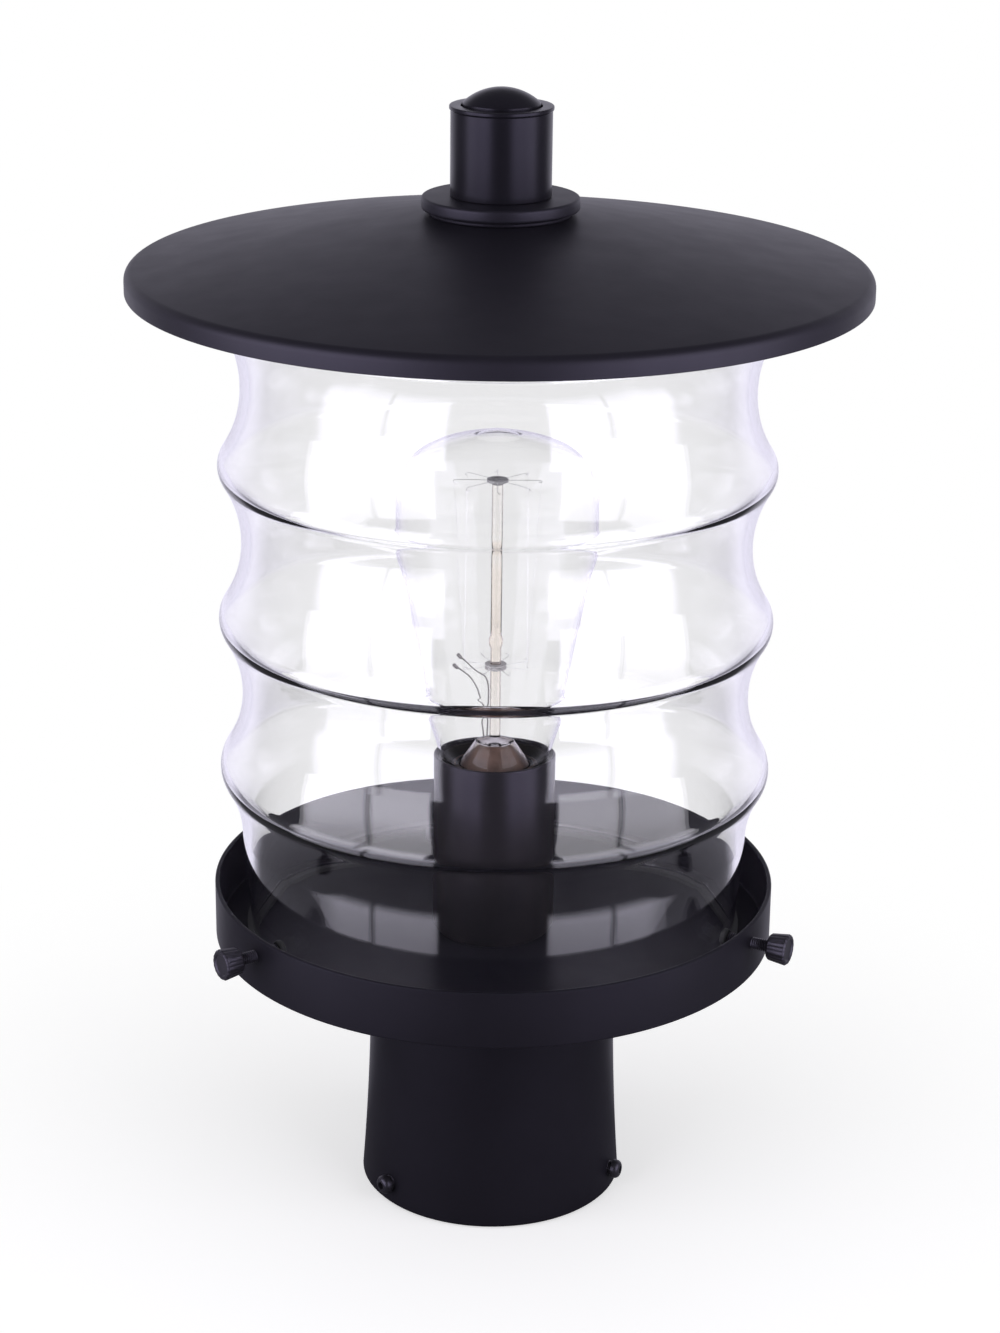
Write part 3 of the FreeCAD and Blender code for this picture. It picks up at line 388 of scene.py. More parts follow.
def coated(name, one, two, rough, grain_mm, grain_height, shine):
    """Powder coat or paint: two close tones, an uneven gloss and a fine orange peel."""
    material, tree, shader = new_material(name)
    fine = noise(tree, 1 / (grain_mm * MM))
    peel = noise(tree, 0.25 / (grain_mm * MM))
    fill(tree, shader, {
        "Base Color": two_tone(tree, noise(tree, 28.0, 3.0), one, two),
        "Roughness": ranged(tree, noise(tree, 90.0, 4.0), rough - 0.02, rough + 0.02),
        "Normal": bump(tree, fine, 0.6, grain_height, bump(tree, peel, 0.35, grain_height)),
        "Specular IOR Level": shine, "Specular Tint": SHEEN})
    return material


def metal(name, one, two, rough, stretch=(1, 1, 1)):
    """Bare metal with drawn or turned marks."""
    material, tree, shader = new_material(name)
    marks = noise(tree, 260.0, 4.0, stretch)
    fill(tree, shader, {"Base Color": two_tone(tree, marks, one, two), "Metallic": 1.0,
                        "Roughness": ranged(tree, marks, rough - 0.08, rough + 0.08),
                        "Normal": bump(tree, marks, 0.5, 0.004)})
    return material


def painted_edge_shade(tree, shader, middle, edge, start, end):
    """Paints shade into a glass colour: turns it towards a darker one where its surface is seen
    edge on, standing in for the dark lines that refraction shows at real glass edges.
    """
    facing = add(tree, "LayerWeight", {"Blend": 0.5}).outputs["Facing"]
    colour = colour_mix(tree, smooth_step(tree, facing, start, end), middle, (*edge, 1))
    tree.links.new(colour, shader.inputs["Base Color"])


def clear_glass(name, colour, tint, density, wave_mm, wave_scale, ior=1.5, edge=None):
    """Clear glass that lets lamps through, with a faint waviness and a tint by its depth."""
    material, tree, shader = new_material(name)
    waves = noise(tree, wave_scale, 1.0, (1, 1, 0.5))
    fill(tree, shader, {"Base Color": (*colour, 1), "Transmission Weight": 1.0, "Roughness": 0.0,
                        "IOR": ior, "Normal": bump(tree, waves, 0.4, wave_mm)})
    # painted shade: with an edge colour, the glass turns towards it where seen edge on, in place of
    # the dark lines refraction shows there
    if edge:
        painted_edge_shade(tree, shader, (*colour, 1), edge, 0.60, 0.95)
    open_way = add(tree, "BsdfTransparent").outputs["BSDF"]
    lamps_pass = add(tree, "LightPath").outputs["Is Shadow Ray"]
    output = tree.nodes["Material Output"]
    tree.links.new(shader_mix(tree, lamps_pass, shader.outputs["BSDF"], open_way),
                   output.inputs["Surface"])
    if density:
        depth = add(tree, "VolumeAbsorption", {"Color": (*tint, 1), "Density": density})
        tree.links.new(depth.outputs["Volume"], output.inputs["Volume"])
    return material


def drawn_glass(name, tones):
    """A thin glass rod: clear, with a tone by its height, and painted shade, a darker line where it
    is seen edge on.
    """
    material = clear_glass(name, tones[0][1], tones[0][1], 0.0, 0.0, 80.0, 1.3)
    tree = material.node_tree
    place = add(tree, "TexCoord").outputs["Object"]
    height = add(tree, "SeparateXYZ", {"Vector": place}).outputs["Z"]
    ramp = add(tree, "ValToRGB", {"Fac": height})
    while len(ramp.color_ramp.elements) < len(tones):
        ramp.color_ramp.elements.new(0.5)
    for stop, (level, tone) in zip(ramp.color_ramp.elements, tones):
        stop.position = level
        stop.color = (*tone, 1)
    # painted shade: a darker colour at the rod's edges, standing in for the lines refraction draws
    # there
    painted_edge_shade(tree, tree.nodes["Principled BSDF"], ramp.outputs["Color"], (0.36, 0.32, 0.31),
              0.30, 0.55)
    return material


def plain(name, one, two, rough, scale, grain_mm):
    """Rubber, phenolic, nylon or glue, and the dull wires of the bulb."""
    material, tree, shader = new_material(name)
    clouds = noise(tree, scale, 4.0)
    fill(tree, shader, {"Base Color": two_tone(tree, clouds, one, two),
                        "Roughness": ranged(tree, clouds, rough - 0.06, rough + 0.06),
                        "Normal": bump(tree, noise(tree, 1500.0), 0.4, grain_mm)})
    return material


SHEEN = (0.80, 0.74, 1.0, 1)
BLACK = ((0.0100, 0.0092, 0.0130), (0.0118, 0.0108, 0.0155))
CLEAR = (1.0, 1.0, 1.0)
FINISHES = {
    "fitter_metal": (coated, *BLACK, 0.46, 0.9, 0.020, 0.09),
    "pan_metal": (coated, *BLACK, 0.44, 0.9, 0.020, 0.11),
    "roof_metal": (coated, *BLACK, 0.46, 0.8, 0.022, 0.30),
    "sleeve_metal": (coated, *BLACK, 0.30, 1.4, 0.008, 0.19),
    "socket_black": (coated, (0.011, 0.010, 0.012), (0.016, 0.014, 0.016), 0.32, 1.4, 0.006, 0.35),
    "black_screw": (coated, (0.012, 0.011, 0.014), (0.020, 0.019, 0.023), 0.38, 1.0, 0.006, 0.5),
    "phenolic": (plain, (0.016, 0.014, 0.013), (0.024, 0.021, 0.019), 0.42, 120.0, 0.01),
    "rubber": (plain, (0.015, 0.015, 0.017), (0.024, 0.024, 0.026), 0.70, 160.0, 0.02),
    "nylon": (plain, (0.020, 0.020, 0.021), (0.030, 0.030, 0.031), 0.5, 200.0, 0.01),
    "green_screw": (metal, (0.03, 0.22, 0.08), (0.05, 0.30, 0.11), 0.35),
    "zinc_steel": (metal, (0.52, 0.52, 0.50), (0.66, 0.66, 0.63), 0.36),
    "brass": (metal, (0.42, 0.24, 0.13), (0.60, 0.36, 0.20), 0.30, (1, 1, 0.2)),
    "shade_glass": (clear_glass, CLEAR, (0.80, 0.78, 0.88), 20.0, 0.03, 18.0),
    # the bulb's last colour is painted shade, taken on where its glass is seen edge on
    "bulb_glass": (clear_glass, CLEAR, (0.84, 0.82, 0.90), 10.0, 0.01, 30.0, 1.19,
                   (0.84, 0.83, 0.85)),
    "stem_glass": (drawn_glass, (           # heights in metres, and the tone there
        (0.0, (0.97, 0.95, 0.94)), (0.150, (0.96, 0.94, 0.92)), (0.192, (0.97, 0.89, 0.82)),
        (0.214, (0.97, 0.90, 0.83)), (0.224, (0.97, 0.95, 0.92)))),
    "cement": (plain, (0.085, 0.051, 0.041), (0.145, 0.089, 0.073), 0.50, 260.0, 0.02),
    "grey_metal": (plain, (0.27, 0.27, 0.275), (0.36, 0.36, 0.365), 0.40, 900.0, 0.004),
    "collar_metal": (plain, (0.40, 0.39, 0.39), (0.52, 0.51, 0.51), 0.40, 900.0, 0.004),
    "support_wire": (metal, (0.60, 0.59, 0.60), (0.76, 0.75, 0.76), 0.30),
    "lead_wire": (plain, (0.24, 0.23, 0.23), (0.32, 0.31, 0.31), 0.40, 900.0, 0.004),
    "base_insulator": (plain, (0.012, 0.012, 0.014), (0.020, 0.020, 0.022), 0.20, 90.0, 0.003),
}
LOOKS = {name: make(name, *values) for name, (make, *values) in FINISHES.items()}

for node, piece in frame["nodes"].items():
    piece.data.materials.clear()
    piece.data.materials.append(LOOKS[SLOTS[node]])
    smoothed(piece.data)


# ---------------------------------------------------------------- fitter and pan
POST_BORE_RADIUS = 38.6
POST_DEPTH = 70.0
LEDGE_RADIUS = 34.0
PLATE = 6.0
NIPPLE_HOLE = 5.05
FOOT_RADIUS = 43.0
KNEE = (40.5, 49.0)
FLARE_MIDDLE = (41.45, 24.9)
FITTER_TOP_RADIUS = 39.9
EDGE = 0.8
SET_ANGLES = (-51.0, 69.0, 189.0)      # round from the front
SET_Z = 7.3
SET_HOLE = 2.55
PAN_RADIUS = 90.65
PAN_WALL = 1.5
THUMB_ANGLES = (-55.0, 65.0, 185.0)
THUMB_Z = 101.0
THUMB_HOLE = 2.1
DRILL_MORE = 2.0              # how far a drill reaches past the wall


def fitter():
    top = high("post_fitter")
    outline = path((POST_BORE_RADIUS, EDGE), (POST_BORE_RADIUS + EDGE, 0), (FOOT_RADIUS - EDGE, 0),
                   (FOOT_RADIUS, EDGE), (FLARE_MIDDLE, KNEE), (FITTER_TOP_RADIUS, top),
                   (NIPPLE_HOLE, top), (NIPPLE_HOLE, top - PLATE), (LEDGE_RADIUS, top - PLATE),
                   (LEDGE_RADIUS, POST_DEPTH), (POST_BORE_RADIUS, POST_DEPTH), count=16)
    piece = turned("fitter_sleeve", softened(outline, 0.6), "fitter_metal", "stand",
                   ("post_fitter",))
    drilled(piece, SET_HOLE, SET_ANGLES, SET_Z, POST_BORE_RADIUS - DRILL_MORE,
            FOOT_RADIUS + DRILL_MORE)


def pan():
    bottom, top = ends("shade_pan")
    inside = PAN_RADIUS - PAN_WALL
    outline = [(NIPPLE_HOLE, bottom), (PAN_RADIUS, bottom), (PAN_RADIUS, top), (inside, top),
               (inside, bottom + PAN_WALL), (NIPPLE_HOLE, bottom + PAN_WALL)]
    piece = turned("pan_tray", softened(outline, 0.7, 6), "pan_metal", "stand", ("shade_pan",))
    drilled(piece, THUMB_HOLE, THUMB_ANGLES, THUMB_Z, inside - DRILL_MORE, PAN_RADIUS + DRILL_MORE)


fitter()
pan()


# ---------------------------------------------------------------- glass shade
SHADE_WALL = 3.0
MOUTH_RADIUS = 78.9
SKIRT_RADIUS = 81.4
RIB_RADIUS = 88.0
RIB_DEPTH = 7.2
RIB_NOSE = 6.0
RIB_DRAW_IN = 0.4
RIB_PITCH = 49.7
RIB_COUNT = 4
SHOULDER = 15.2
HOLE_RADIUS = 6.0
GLASS_LOW = low("glass_shade")
GLASS_HIGH = high("glass_shade")
LAST_RIB = GLASS_HIGH - SHOULDER
FIRST_RIB = LAST_RIB - (RIB_COUNT - 1) * RIB_PITCH


def rib_centre(index):
    """Centre of the arc that rounds a rib's crest."""
    return RIB_RADIUS - RIB_DRAW_IN * index - RIB_NOSE, FIRST_RIB + RIB_PITCH * index


def hollow_radius(depth, height):
    """Radius of the hollow that meets the crest smoothly, for a rib of that depth."""
    return (depth * depth + height * height) / (2 * depth) - RIB_NOSE


def crest_to_hollow(index, hollow_centre, hollow, inset):
    """Where a rib's crest meets a hollow beside it, and the middle of the hollow's half."""
    centre_radius, centre_height = rib_centre(index)
    across = (hollow_centre[0] - centre_radius) / (hollow + RIB_NOSE)
    along = (hollow_centre[1] - centre_height) / (hollow + RIB_NOSE)
    nose = RIB_NOSE - inset
    sweep = math.atan2(abs(along), across) / 2
    bow = hollow + inset
    return ((centre_radius + across * nose, centre_height + along * nose),
            (hollow_centre[0] - bow * math.cos(sweep),
             hollow_centre[1] - math.copysign(bow * math.sin(sweep), along)))


def flank(index, waist, side, inset):
    """One flank of a rib: where crest and hollow meet, the hollow's middle, and its end."""
    centre_radius, centre_height = rib_centre(index)
    hollow = hollow_radius(centre_radius + RIB_NOSE - waist, RIB_PITCH / 2)
    hollow_centre = (waist + hollow, centre_height + side * RIB_PITCH / 2)
    meet, middle = crest_to_hollow(index, hollow_centre, hollow, inset)
    return meet, middle, (hollow_centre[0] - (hollow + inset), hollow_centre[1])


def glass_side(inset):
    """Steps of the glass's side from the skirt's top to the shoulder's top."""
    hollow = hollow_radius(RIB_DEPTH, RIB_PITCH / 2)
    depth = RIB_RADIUS - SKIRT_RADIUS
    skirt_top = FIRST_RIB - math.sqrt(2 * (hollow + RIB_NOSE) * depth - depth * depth)
    meet, middle = crest_to_hollow(0, (SKIRT_RADIUS + hollow, skirt_top), hollow, inset)
    nose = RIB_NOSE - inset
    steps = [(SKIRT_RADIUS - inset, skirt_top), (middle, meet)]
    for index in range(RIB_COUNT - 1):
        crest = (rib_centre(index)[0] + nose, rib_centre(index)[1])
        waist_outside = RIB_RADIUS - RIB_DRAW_IN * (index + 0.5) - RIB_DEPTH
        leave, hollow_middle, waist = flank(index, waist_outside, 1, inset)
        meet, next_middle, waist = flank(index + 1, waist_outside, -1, inset)
        steps += [(crest, leave), (hollow_middle, waist), (next_middle, meet)]
    last_radius = rib_centre(RIB_COUNT - 1)[0]
    before = math.atan2(meet[1] - LAST_RIB, meet[0] - last_radius) / 2
    turn = SHOULDER - inset
    shoulder_centre = last_radius + nose - turn
    halfway = turn * math.sqrt(0.5)
    steps += [((last_radius + nose * math.cos(before), LAST_RIB + nose * math.sin(before)),
               (last_radius + nose, LAST_RIB)),
              ((shoulder_centre + halfway, LAST_RIB + halfway), (shoulder_centre, LAST_RIB + turn))]
    return steps


def glass():
    outside = path((MOUTH_RADIUS, GLASS_LOW), *glass_side(0.0), (HOLE_RADIUS, GLASS_HIGH), count=12)
    inside = path((MOUTH_RADIUS - SHADE_WALL, GLASS_LOW), *glass_side(SHADE_WALL),
                  (HOLE_RADIUS, GLASS_HIGH - SHADE_WALL), count=12)
    outline = softened(outside + inside[::-1], 1.2, 6)
    turned("ribbed_glass", outline, "shade_glass", "shade", ("glass_shade",), 256)


glass()


# ---------------------------------------------------------------- roof and finial
ROOF_RADIUS = 114.1
ROOF_SHEET = 1.2
ROOF_CORNER = 3.0
ROOF_RISE = 16.3
ROOF_FLAT_RADIUS = 22.5
ROD_HOLE = 3.05
FLANGE_RADIUS = 24.15
STEP_RADIUS = 21.8
STEP_HEIGHT = 1.6
DOME_RISE = 4.6
DOME_DEPTH = 6.5              # of the nut's threaded hole


def roof():
    bottom, top = ends("roof_cap")
    lip_top = top - ROOF_RISE
    slope = math.atan2(ROOF_RISE, ROOF_RADIUS - ROOF_FLAT_RADIUS)
    turn = math.pi / 2 - slope
    setback = ROOF_CORNER * math.tan(turn / 2)
    edge_top = lip_top - setback
    on_cone = (ROOF_RADIUS - setback * math.cos(slope), lip_top + setback * math.sin(slope))
    centre = ROOF_RADIUS - ROOF_CORNER
    across, along = math.cos(turn / 2), math.sin(turn / 2)
    middle, inner_middle = ((centre + corner * across, edge_top + corner * along)
                            for corner in (ROOF_CORNER, ROOF_CORNER - ROOF_SHEET))
    inner_cone = (on_cone[0] - ROOF_SHEET * math.sin(slope),
                  on_cone[1] - ROOF_SHEET * math.cos(slope))
    inner_flat = ROOF_FLAT_RADIUS - ROOF_SHEET * math.tan(slope / 2)
    inside = ROOF_RADIUS - ROOF_SHEET
    outline = path((inside, bottom), (ROOF_RADIUS, bottom), (ROOF_RADIUS, edge_top),
                   (middle, on_cone), (ROOF_FLAT_RADIUS, top), (ROD_HOLE, top),
                   (ROD_HOLE, top - ROOF_SHEET), (inner_flat, top - ROOF_SHEET), inner_cone,
                   (inner_middle, (inside, edge_top)), count=10)
    turned("roof_cone", softened(outline, 0.4), "roof_metal", "shade", ("roof_cap",), 256)


def flange():
    bottom, top = ends("flange_disc")
    outline = [(ROD_HOLE, bottom), (STEP_RADIUS, bottom), (STEP_RADIUS, bottom + STEP_HEIGHT),
               (FLANGE_RADIUS, bottom + STEP_HEIGHT), (FLANGE_RADIUS, top), (ROD_HOLE, top)]
    turned("finial_flange", softened(outline, 1.1, 6), "roof_metal", "shade", ("flange_disc",))


SLEEVE_RADIUS = 15.4
MOUTH_WALL = 3.1              # the sleeve's mouth closes in round the dome nut
NUT_SINK = 5.4


def sleeve():
    bottom, top = ends("finial_sleeve")
    rim = SLEEVE_RADIUS + 0.4
    inside = SLEEVE_RADIUS - MOUTH_WALL
    outline = [(ROD_HOLE, bottom), (SLEEVE_RADIUS, bottom), (SLEEVE_RADIUS, top - 1.5),
               (rim, top - 1.1), (rim, top), (inside, top), (inside, top - NUT_SINK),
               (ROD_HOLE, top - NUT_SINK)]
    turned("finial_tube", softened(outline, 0.4, 5), "sleeve_metal", "shade", ("finial_sleeve",))


def dome():
    bottom, top = ends("dome_nut")
    radius = reach("dome_nut")
    ball = (radius * radius + DOME_RISE * DOME_RISE) / (2 * DOME_RISE)
    half = math.asin(radius / ball) / 2
    shoulder = top - DOME_RISE
    midway = (ball * math.sin(half), top - ball + ball * math.cos(half))
    outline = path((ROD_HOLE, bottom), (radius, bottom), (radius, shoulder), (midway, (0, top)),
                   (0, bottom + DOME_DEPTH), (ROD_HOLE, bottom + DOME_DEPTH), count=16)
    turned("dome_cap", softened(outline, 0.6, 5), "sleeve_metal", "dome_nut", ("dome_nut",))


roof()
flange()
sleeve()
dome()


# ---------------------------------------------------------------- socket
COVER_WALL = 1.1
COVER_FLOOR = 1.0


def socket():
    bottom, top = ends("socket_cover")
    radius = reach("socket_cover")
    inside = radius - COVER_WALL
    outline = [(NIPPLE_HOLE, bottom), (radius, bottom), (radius, top), (inside, top),
               (inside, bottom + COVER_FLOOR), (NIPPLE_HOLE, bottom + COVER_FLOOR)]
    turned("lamp_cover", softened(outline, 0.5, 5), "socket_black", "stand", ("socket_cover",))


socket()


# ---------------------------------------------------------------- bulb
BULB_WALL = 0.8
NECK_RADIUS = 12.4
BASE_RIM = high("bulb_base_shell")


def swell_into(side, start, top):
    """A point midway along the arc from start that runs smoothly into an upright side."""
    depth = side - start[0]
    height = top - start[1]
    radius = (depth * depth + height * height) / (2 * depth)
    half = math.asin(height / radius) / 2
    return side - radius + radius * math.cos(half), top - radius * math.sin(half)


def bulb_side(inset):
    """The envelope's outline from the neck's rim up to the crown's top."""
    side = 31.9 - inset
    turn = 18.5 - inset
    crown = 48.0 - inset
    turn_height = BASE_RIM + 88.0
    turn_centre = side - turn
    drop = math.sqrt((crown - turn) ** 2 - turn_centre ** 2)
    lean = math.atan2(drop, turn_centre)
    meet = (turn_centre + turn * math.cos(lean), turn_height + turn * math.sin(lean))
    on_turn = (turn_centre + turn * math.cos(lean / 2), turn_height + turn * math.sin(lean / 2))
    tip_radius = 7.0
    tip_rise = 1.8
    tip_lean = math.acos(tip_radius / crown)
    tip_foot = (tip_radius, turn_height - drop + crown * math.sin(tip_lean))
    between = (lean + tip_lean) / 2
    on_crown = (crown * math.cos(between), turn_height - drop + crown * math.sin(between))
    ball = (tip_radius * tip_radius + tip_rise * tip_rise) / (2 * tip_rise)
    half = math.asin(tip_radius / ball) / 2
    tip_top = tip_foot[1] + tip_rise
    on_tip = (ball * math.sin(half), tip_top - ball + ball * math.cos(half))
    shoulder = (30.0 - inset, BASE_RIM + 66.5)
    widest = (side, BASE_RIM + 78.0)
    return [(NECK_RADIUS - inset, BASE_RIM),
            ((15.28 - inset, BASE_RIM + 1.39), (17.6 - inset, BASE_RIM + 3.6)),
            (21.9 - inset, BASE_RIM + 21.0), shoulder,
            (swell_into(side, shoulder, widest[1]), widest), (side, turn_height), (on_turn, meet),
            (on_crown, tip_foot), (on_tip, (0, tip_top))]


def bulb():
    bottom = low("bulb_glass")
    outside = path((NECK_RADIUS, bottom), *bulb_side(0.0), count=14)
    inside = path((NECK_RADIUS - BULB_WALL, bottom), *bulb_side(BULB_WALL), count=14)
    turned("bulb_envelope", outside + inside[::-1], "bulb_glass", "bulb", ("bulb_glass",), 128)


bulb()

STEM_RADIUS = 1.75
STEM_TOP = low("bulb_button")
STEM_FOOT = low("bulb_stem")
FLARE_TOP = BASE_RIM + 9.0
FLARE_RADIUS = 6.2
SKIRT_OUTSIDE = 11.55
GLASS_SKIN = 0.8
BEAD_HEIGHT = 188.4
BEAD_RADIUS = 2.3
BEAD_REACH = 2.4
HOOKS = 8
UPPER_HOOKS = 14.0
LOWER_HOOKS = 11.2
FINE_WIRE = 0.08
FILAMENT_WIRE = 0.02
LEAD_WIRE = 0.25
CRIMP_LEAN = -42.0


def stem():
    """A glass rod with a swelling, on a flared foot; its upper lengths have a warm tone."""
    outline = path((0, STEM_TOP), (STEM_RADIUS, STEM_TOP), (STEM_RADIUS, BEAD_HEIGHT + BEAD_REACH),
                   ((BEAD_RADIUS, BEAD_HEIGHT), (STEM_RADIUS, BEAD_HEIGHT - BEAD_REACH)),
                   (STEM_RADIUS, FLARE_TOP + STEM_RADIUS), (FLARE_RADIUS, FLARE_TOP),
                   (SKIRT_OUTSIDE, BASE_RIM), (SKIRT_OUTSIDE, STEM_FOOT),
                   (SKIRT_OUTSIDE - GLASS_SKIN, STEM_FOOT), (SKIRT_OUTSIDE - GLASS_SKIN, BASE_RIM),
                   (FLARE_RADIUS - GLASS_SKIN, FLARE_TOP - GLASS_SKIN), (0, FLARE_TOP - GLASS_SKIN))
    turned("stem_tube", outline, "stem_glass", "bulb", ("bulb_stem",), 48)


def button_and_collar():
    bottom, top = ends("bulb_button")
    rim = reach("bulb_button")
    disc = (bottom + top) / 2
    outline = [(0, bottom), (STEM_RADIUS, bottom), (STEM_RADIUS, disc - 0.7),
               (rim - 0.2, disc - 0.6), (rim, disc - 0.4), (rim, disc + 0.4),
               (rim - 0.3, disc + 0.6), (1.6, disc + 0.6), (1.4, disc + 0.4), (0, disc + 0.4)]
    turned("stem_button", softened(outline, 0.25), "grey_metal", "bulb", ("bulb_button",), 48)
    bottom, top = ends("bulb_collar")
    rim = reach("bulb_collar")
    hole = STEM_RADIUS + 0.05
    outline = [(hole, bottom), (rim, bottom), (rim, bottom + 0.5), (rim - 0.5, (bottom + top) / 2),
               (rim, top - 0.5), (rim, top), (hole, top)]
    turned("stem_collar", softened(outline, 0.2), "collar_metal", "bulb", ("bulb_collar",), 48)


def hook(start, arch, end, angle, height, side):
    """A fine wire that runs outwards and ends in an open hook, bent up (1) or down (-1)."""
    return [spot(start, angle, height), spot(arch, angle, height + 0.1),
            spot(end - 1.2, angle, height), spot(end - 0.1, angle, height + side * 0.1),
            spot(end - 0.2, angle + 3, height + side * 1.1),
            spot(end - 1.2, angle + 4, height + side * 0.8)]


def supports():
    """The hooked wires of the button and the collar, and the filament that zigzags between."""
    upper = sum(ends("bulb_upper_supports")) / 2
    lower = sum(ends("bulb_lower_supports")) / 2
    tops, bottoms, zigzag = [], [], []
    for index in range(HOOKS):
        angle = 360.0 / HOOKS * index
        between = angle + 180.0 / HOOKS
        tops.append(hook(3.2, 9.0, UPPER_HOOKS, angle, upper, -1))
        bottoms.append(hook(3.3, 7.0, LOWER_HOOKS, between, lower, 1))
        zigzag += [spot(UPPER_HOOKS - 0.4, angle, upper - 0.8),
                   spot(LOWER_HOOKS - 0.4, between, lower + 0.8)]
    wires("upper_hooks", tops, FINE_WIRE, "support_wire", "bulb", ("bulb_upper_supports",))
    wires("lower_hooks", bottoms, FINE_WIRE, "support_wire", "bulb", ("bulb_lower_supports",))
    wires("filament_line", [zigzag], FILAMENT_WIRE, "support_wire", "bulb",
          ("bulb_filament",), bend=2)


def leads():
    """Two wires that rise from the flare and lean out to a crimp each."""
    bends = {1: (-100.0, ((2.6, 1.3), (2.3, 9.0), (2.2, 14.5), (3.0, 18.4), (5.4, 19.6),
                          (7.6, 21.2), (9.4, 23.2), (12.0, 25.3))),
             2: (-80.0, ((3.6, 1.3), (4.0, 6.0), (4.5, 10.5), (6.2, 15.5), (8.2, 19.0),
                         (10.8, 21.4), (13.2, 23.2)))}
    for number, (angle, turns) in bends.items():
        route = [spot(distance, angle, FLARE_TOP + rise) for distance, rise in turns]
        reached, top = turns[-1][0], FLARE_TOP + turns[-1][1]
        wires(f"lead_wire_{number}", [route], LEAD_WIRE, "lead_wire", "bulb",
              (f"bulb_lead_wire_{number}",))
        crimp = [(0, -1.3), (0.5, -1.0), (0.62, -0.4), (0.55, 0.1), (0.70, 0.5), (0.45, 1.0),
                 (0, 1.1)]
        mesh = turned_mesh(f"lead_crimp_{number}", softened(crimp, 0.15), 24)
        mesh.transform(Matrix.Rotation(math.radians(CRIMP_LEAN), 4, "Y"))
        mesh.transform(Matrix.Rotation(math.radians(angle + 90), 4, "Z"))
        mesh.transform(Matrix.Translation(Vector(spot(reached - 0.2, angle, top - 0.2)) * MM))
        finished(f"lead_crimp_{number}", mesh, "lead_wire", "bulb")


THREAD_PITCH = 3.63
BASE_SHEET = 0.4
BASE_TAPER = 4.0              # height of the cone under the bulb's thread
CEMENT_LOW = 136.0
CEMENT_TOP = 155.4
CEMENT_RADIUS = 10.5


def helical(depth, pitch, start, end):
    """A form that presses a thread of that depth and pitch between two heights."""
    def form(radius, height, angle):
        if not start < height < end:
            return radius
        swing = 0.5 - 0.5 * math.cos(math.tau * height / pitch - angle)
        ease = min(1.0, (height - start) / pitch, (end - height) / pitch)
        return radius - depth * swing * ease
    return form


def upright(radius, start, end, steps=72):
    """A straight wall up or down, with enough points to press a thread in."""
    return [(radius, start + (end - start) * step / steps) for step in range(steps + 1)]


def base():
    """The bulb's screw base with its rolled thread, and the glue that holds the glass."""
    bottom = low("bulb_base_shell")
    radius = reach("bulb_base_shell")
    taper = bottom + BASE_TAPER
    outline = [(8.6, bottom), *upright(radius, taper, BASE_RIM),
               *upright(radius - BASE_SHEET, BASE_RIM, taper), (8.2, bottom + BASE_SHEET),
               (4.7, bottom + BASE_SHEET), (4.7, bottom)]
    turned("base_shell", outline, "brass", "bulb", ("bulb_base_shell",), 96,
           helical(0.45, THREAD_PITCH, taper + 1.0, BASE_RIM - 5.0))
    outline = path((0, CEMENT_LOW), (CEMENT_RADIUS, CEMENT_LOW), (CEMENT_RADIUS, BASE_RIM - 0.3),
                   ((8.3, 151.2), (4.9, 155.0)), (4.0, CEMENT_TOP), (0, CEMENT_TOP))
    turned("base_cement", outline, "cement", "bulb", (), 64)
    outline = path((12.5, BASE_RIM - 1.9), (13.2, BASE_RIM - 1.9), ((14.2, BASE_RIM - 1.3),
                   (14.0, BASE_RIM - 0.4)), (13.2, BASE_RIM), (12.5, BASE_RIM), count=8)
    turned("base_rim", outline, "cement", "bulb", (), 96)
    bottom, top = ends("socket_shell")
    turned("socket_thread", upright(13.95, bottom, top) + upright(13.5, top, bottom), "brass",
           "stand", ("socket_shell",), 96, helical(-0.15, THREAD_PITCH, bottom + 0.2, top - 0.2))


stem()
button_and_collar()
supports()
leads()
base()


# ---------------------------------------------------------------- screws
TIP_FACE = 80.11              # the soft tips' faces stand this far from the axis
TIP_LENGTH = 2.4
TIP_RADIUS = 2.9
TIP_GAP = 0.04                # between a soft tip and its screw's end
THUMB_RADIUS = 2.0
HEAD_START = 96.25
HEAD_END = 102.85
HEAD_RADIUS = 5.0
GRIPS = 16
GRIP_DEPTH = 0.16
SET_SCREW = {"radius": 2.5, "start": 38.6, "shank": 5.0, "head_radius": 3.1, "head": 2.8,
             "pitch": 0.8, "key": 1.25}
COVER_SCREW = {"radius": 1.5, "start": 14.8, "shank": 4.7, "head_radius": 2.5, "head": 2.8,
               "pitch": 0.5, "key": 1.0}
COVER_SCREW_Z = 120.7


def knurled(radius, height, angle):
    """Grips round the thumb screw's head."""
    if height <= HEAD_START or radius < 4.0:
        return radius
    return radius - GRIP_DEPTH * (0.5 - 0.5 * math.cos(GRIPS * angle)) ** 2


def collar(angle):
    """A pressed collar round a thumb screw's hole, inside the band."""
    inside = PAN_RADIUS - PAN_WALL
    outline = softened([(THUMB_HOLE, inside - 1.6), (4.0, inside - 1.6), (4.2, inside - 1.2),
                        (4.2, inside + 0.5), (THUMB_HOLE, inside + 0.5)], 0.4)
    return laid_out(turned_mesh("collar", outline, AROUND_SMALL), angle, THUMB_Z)


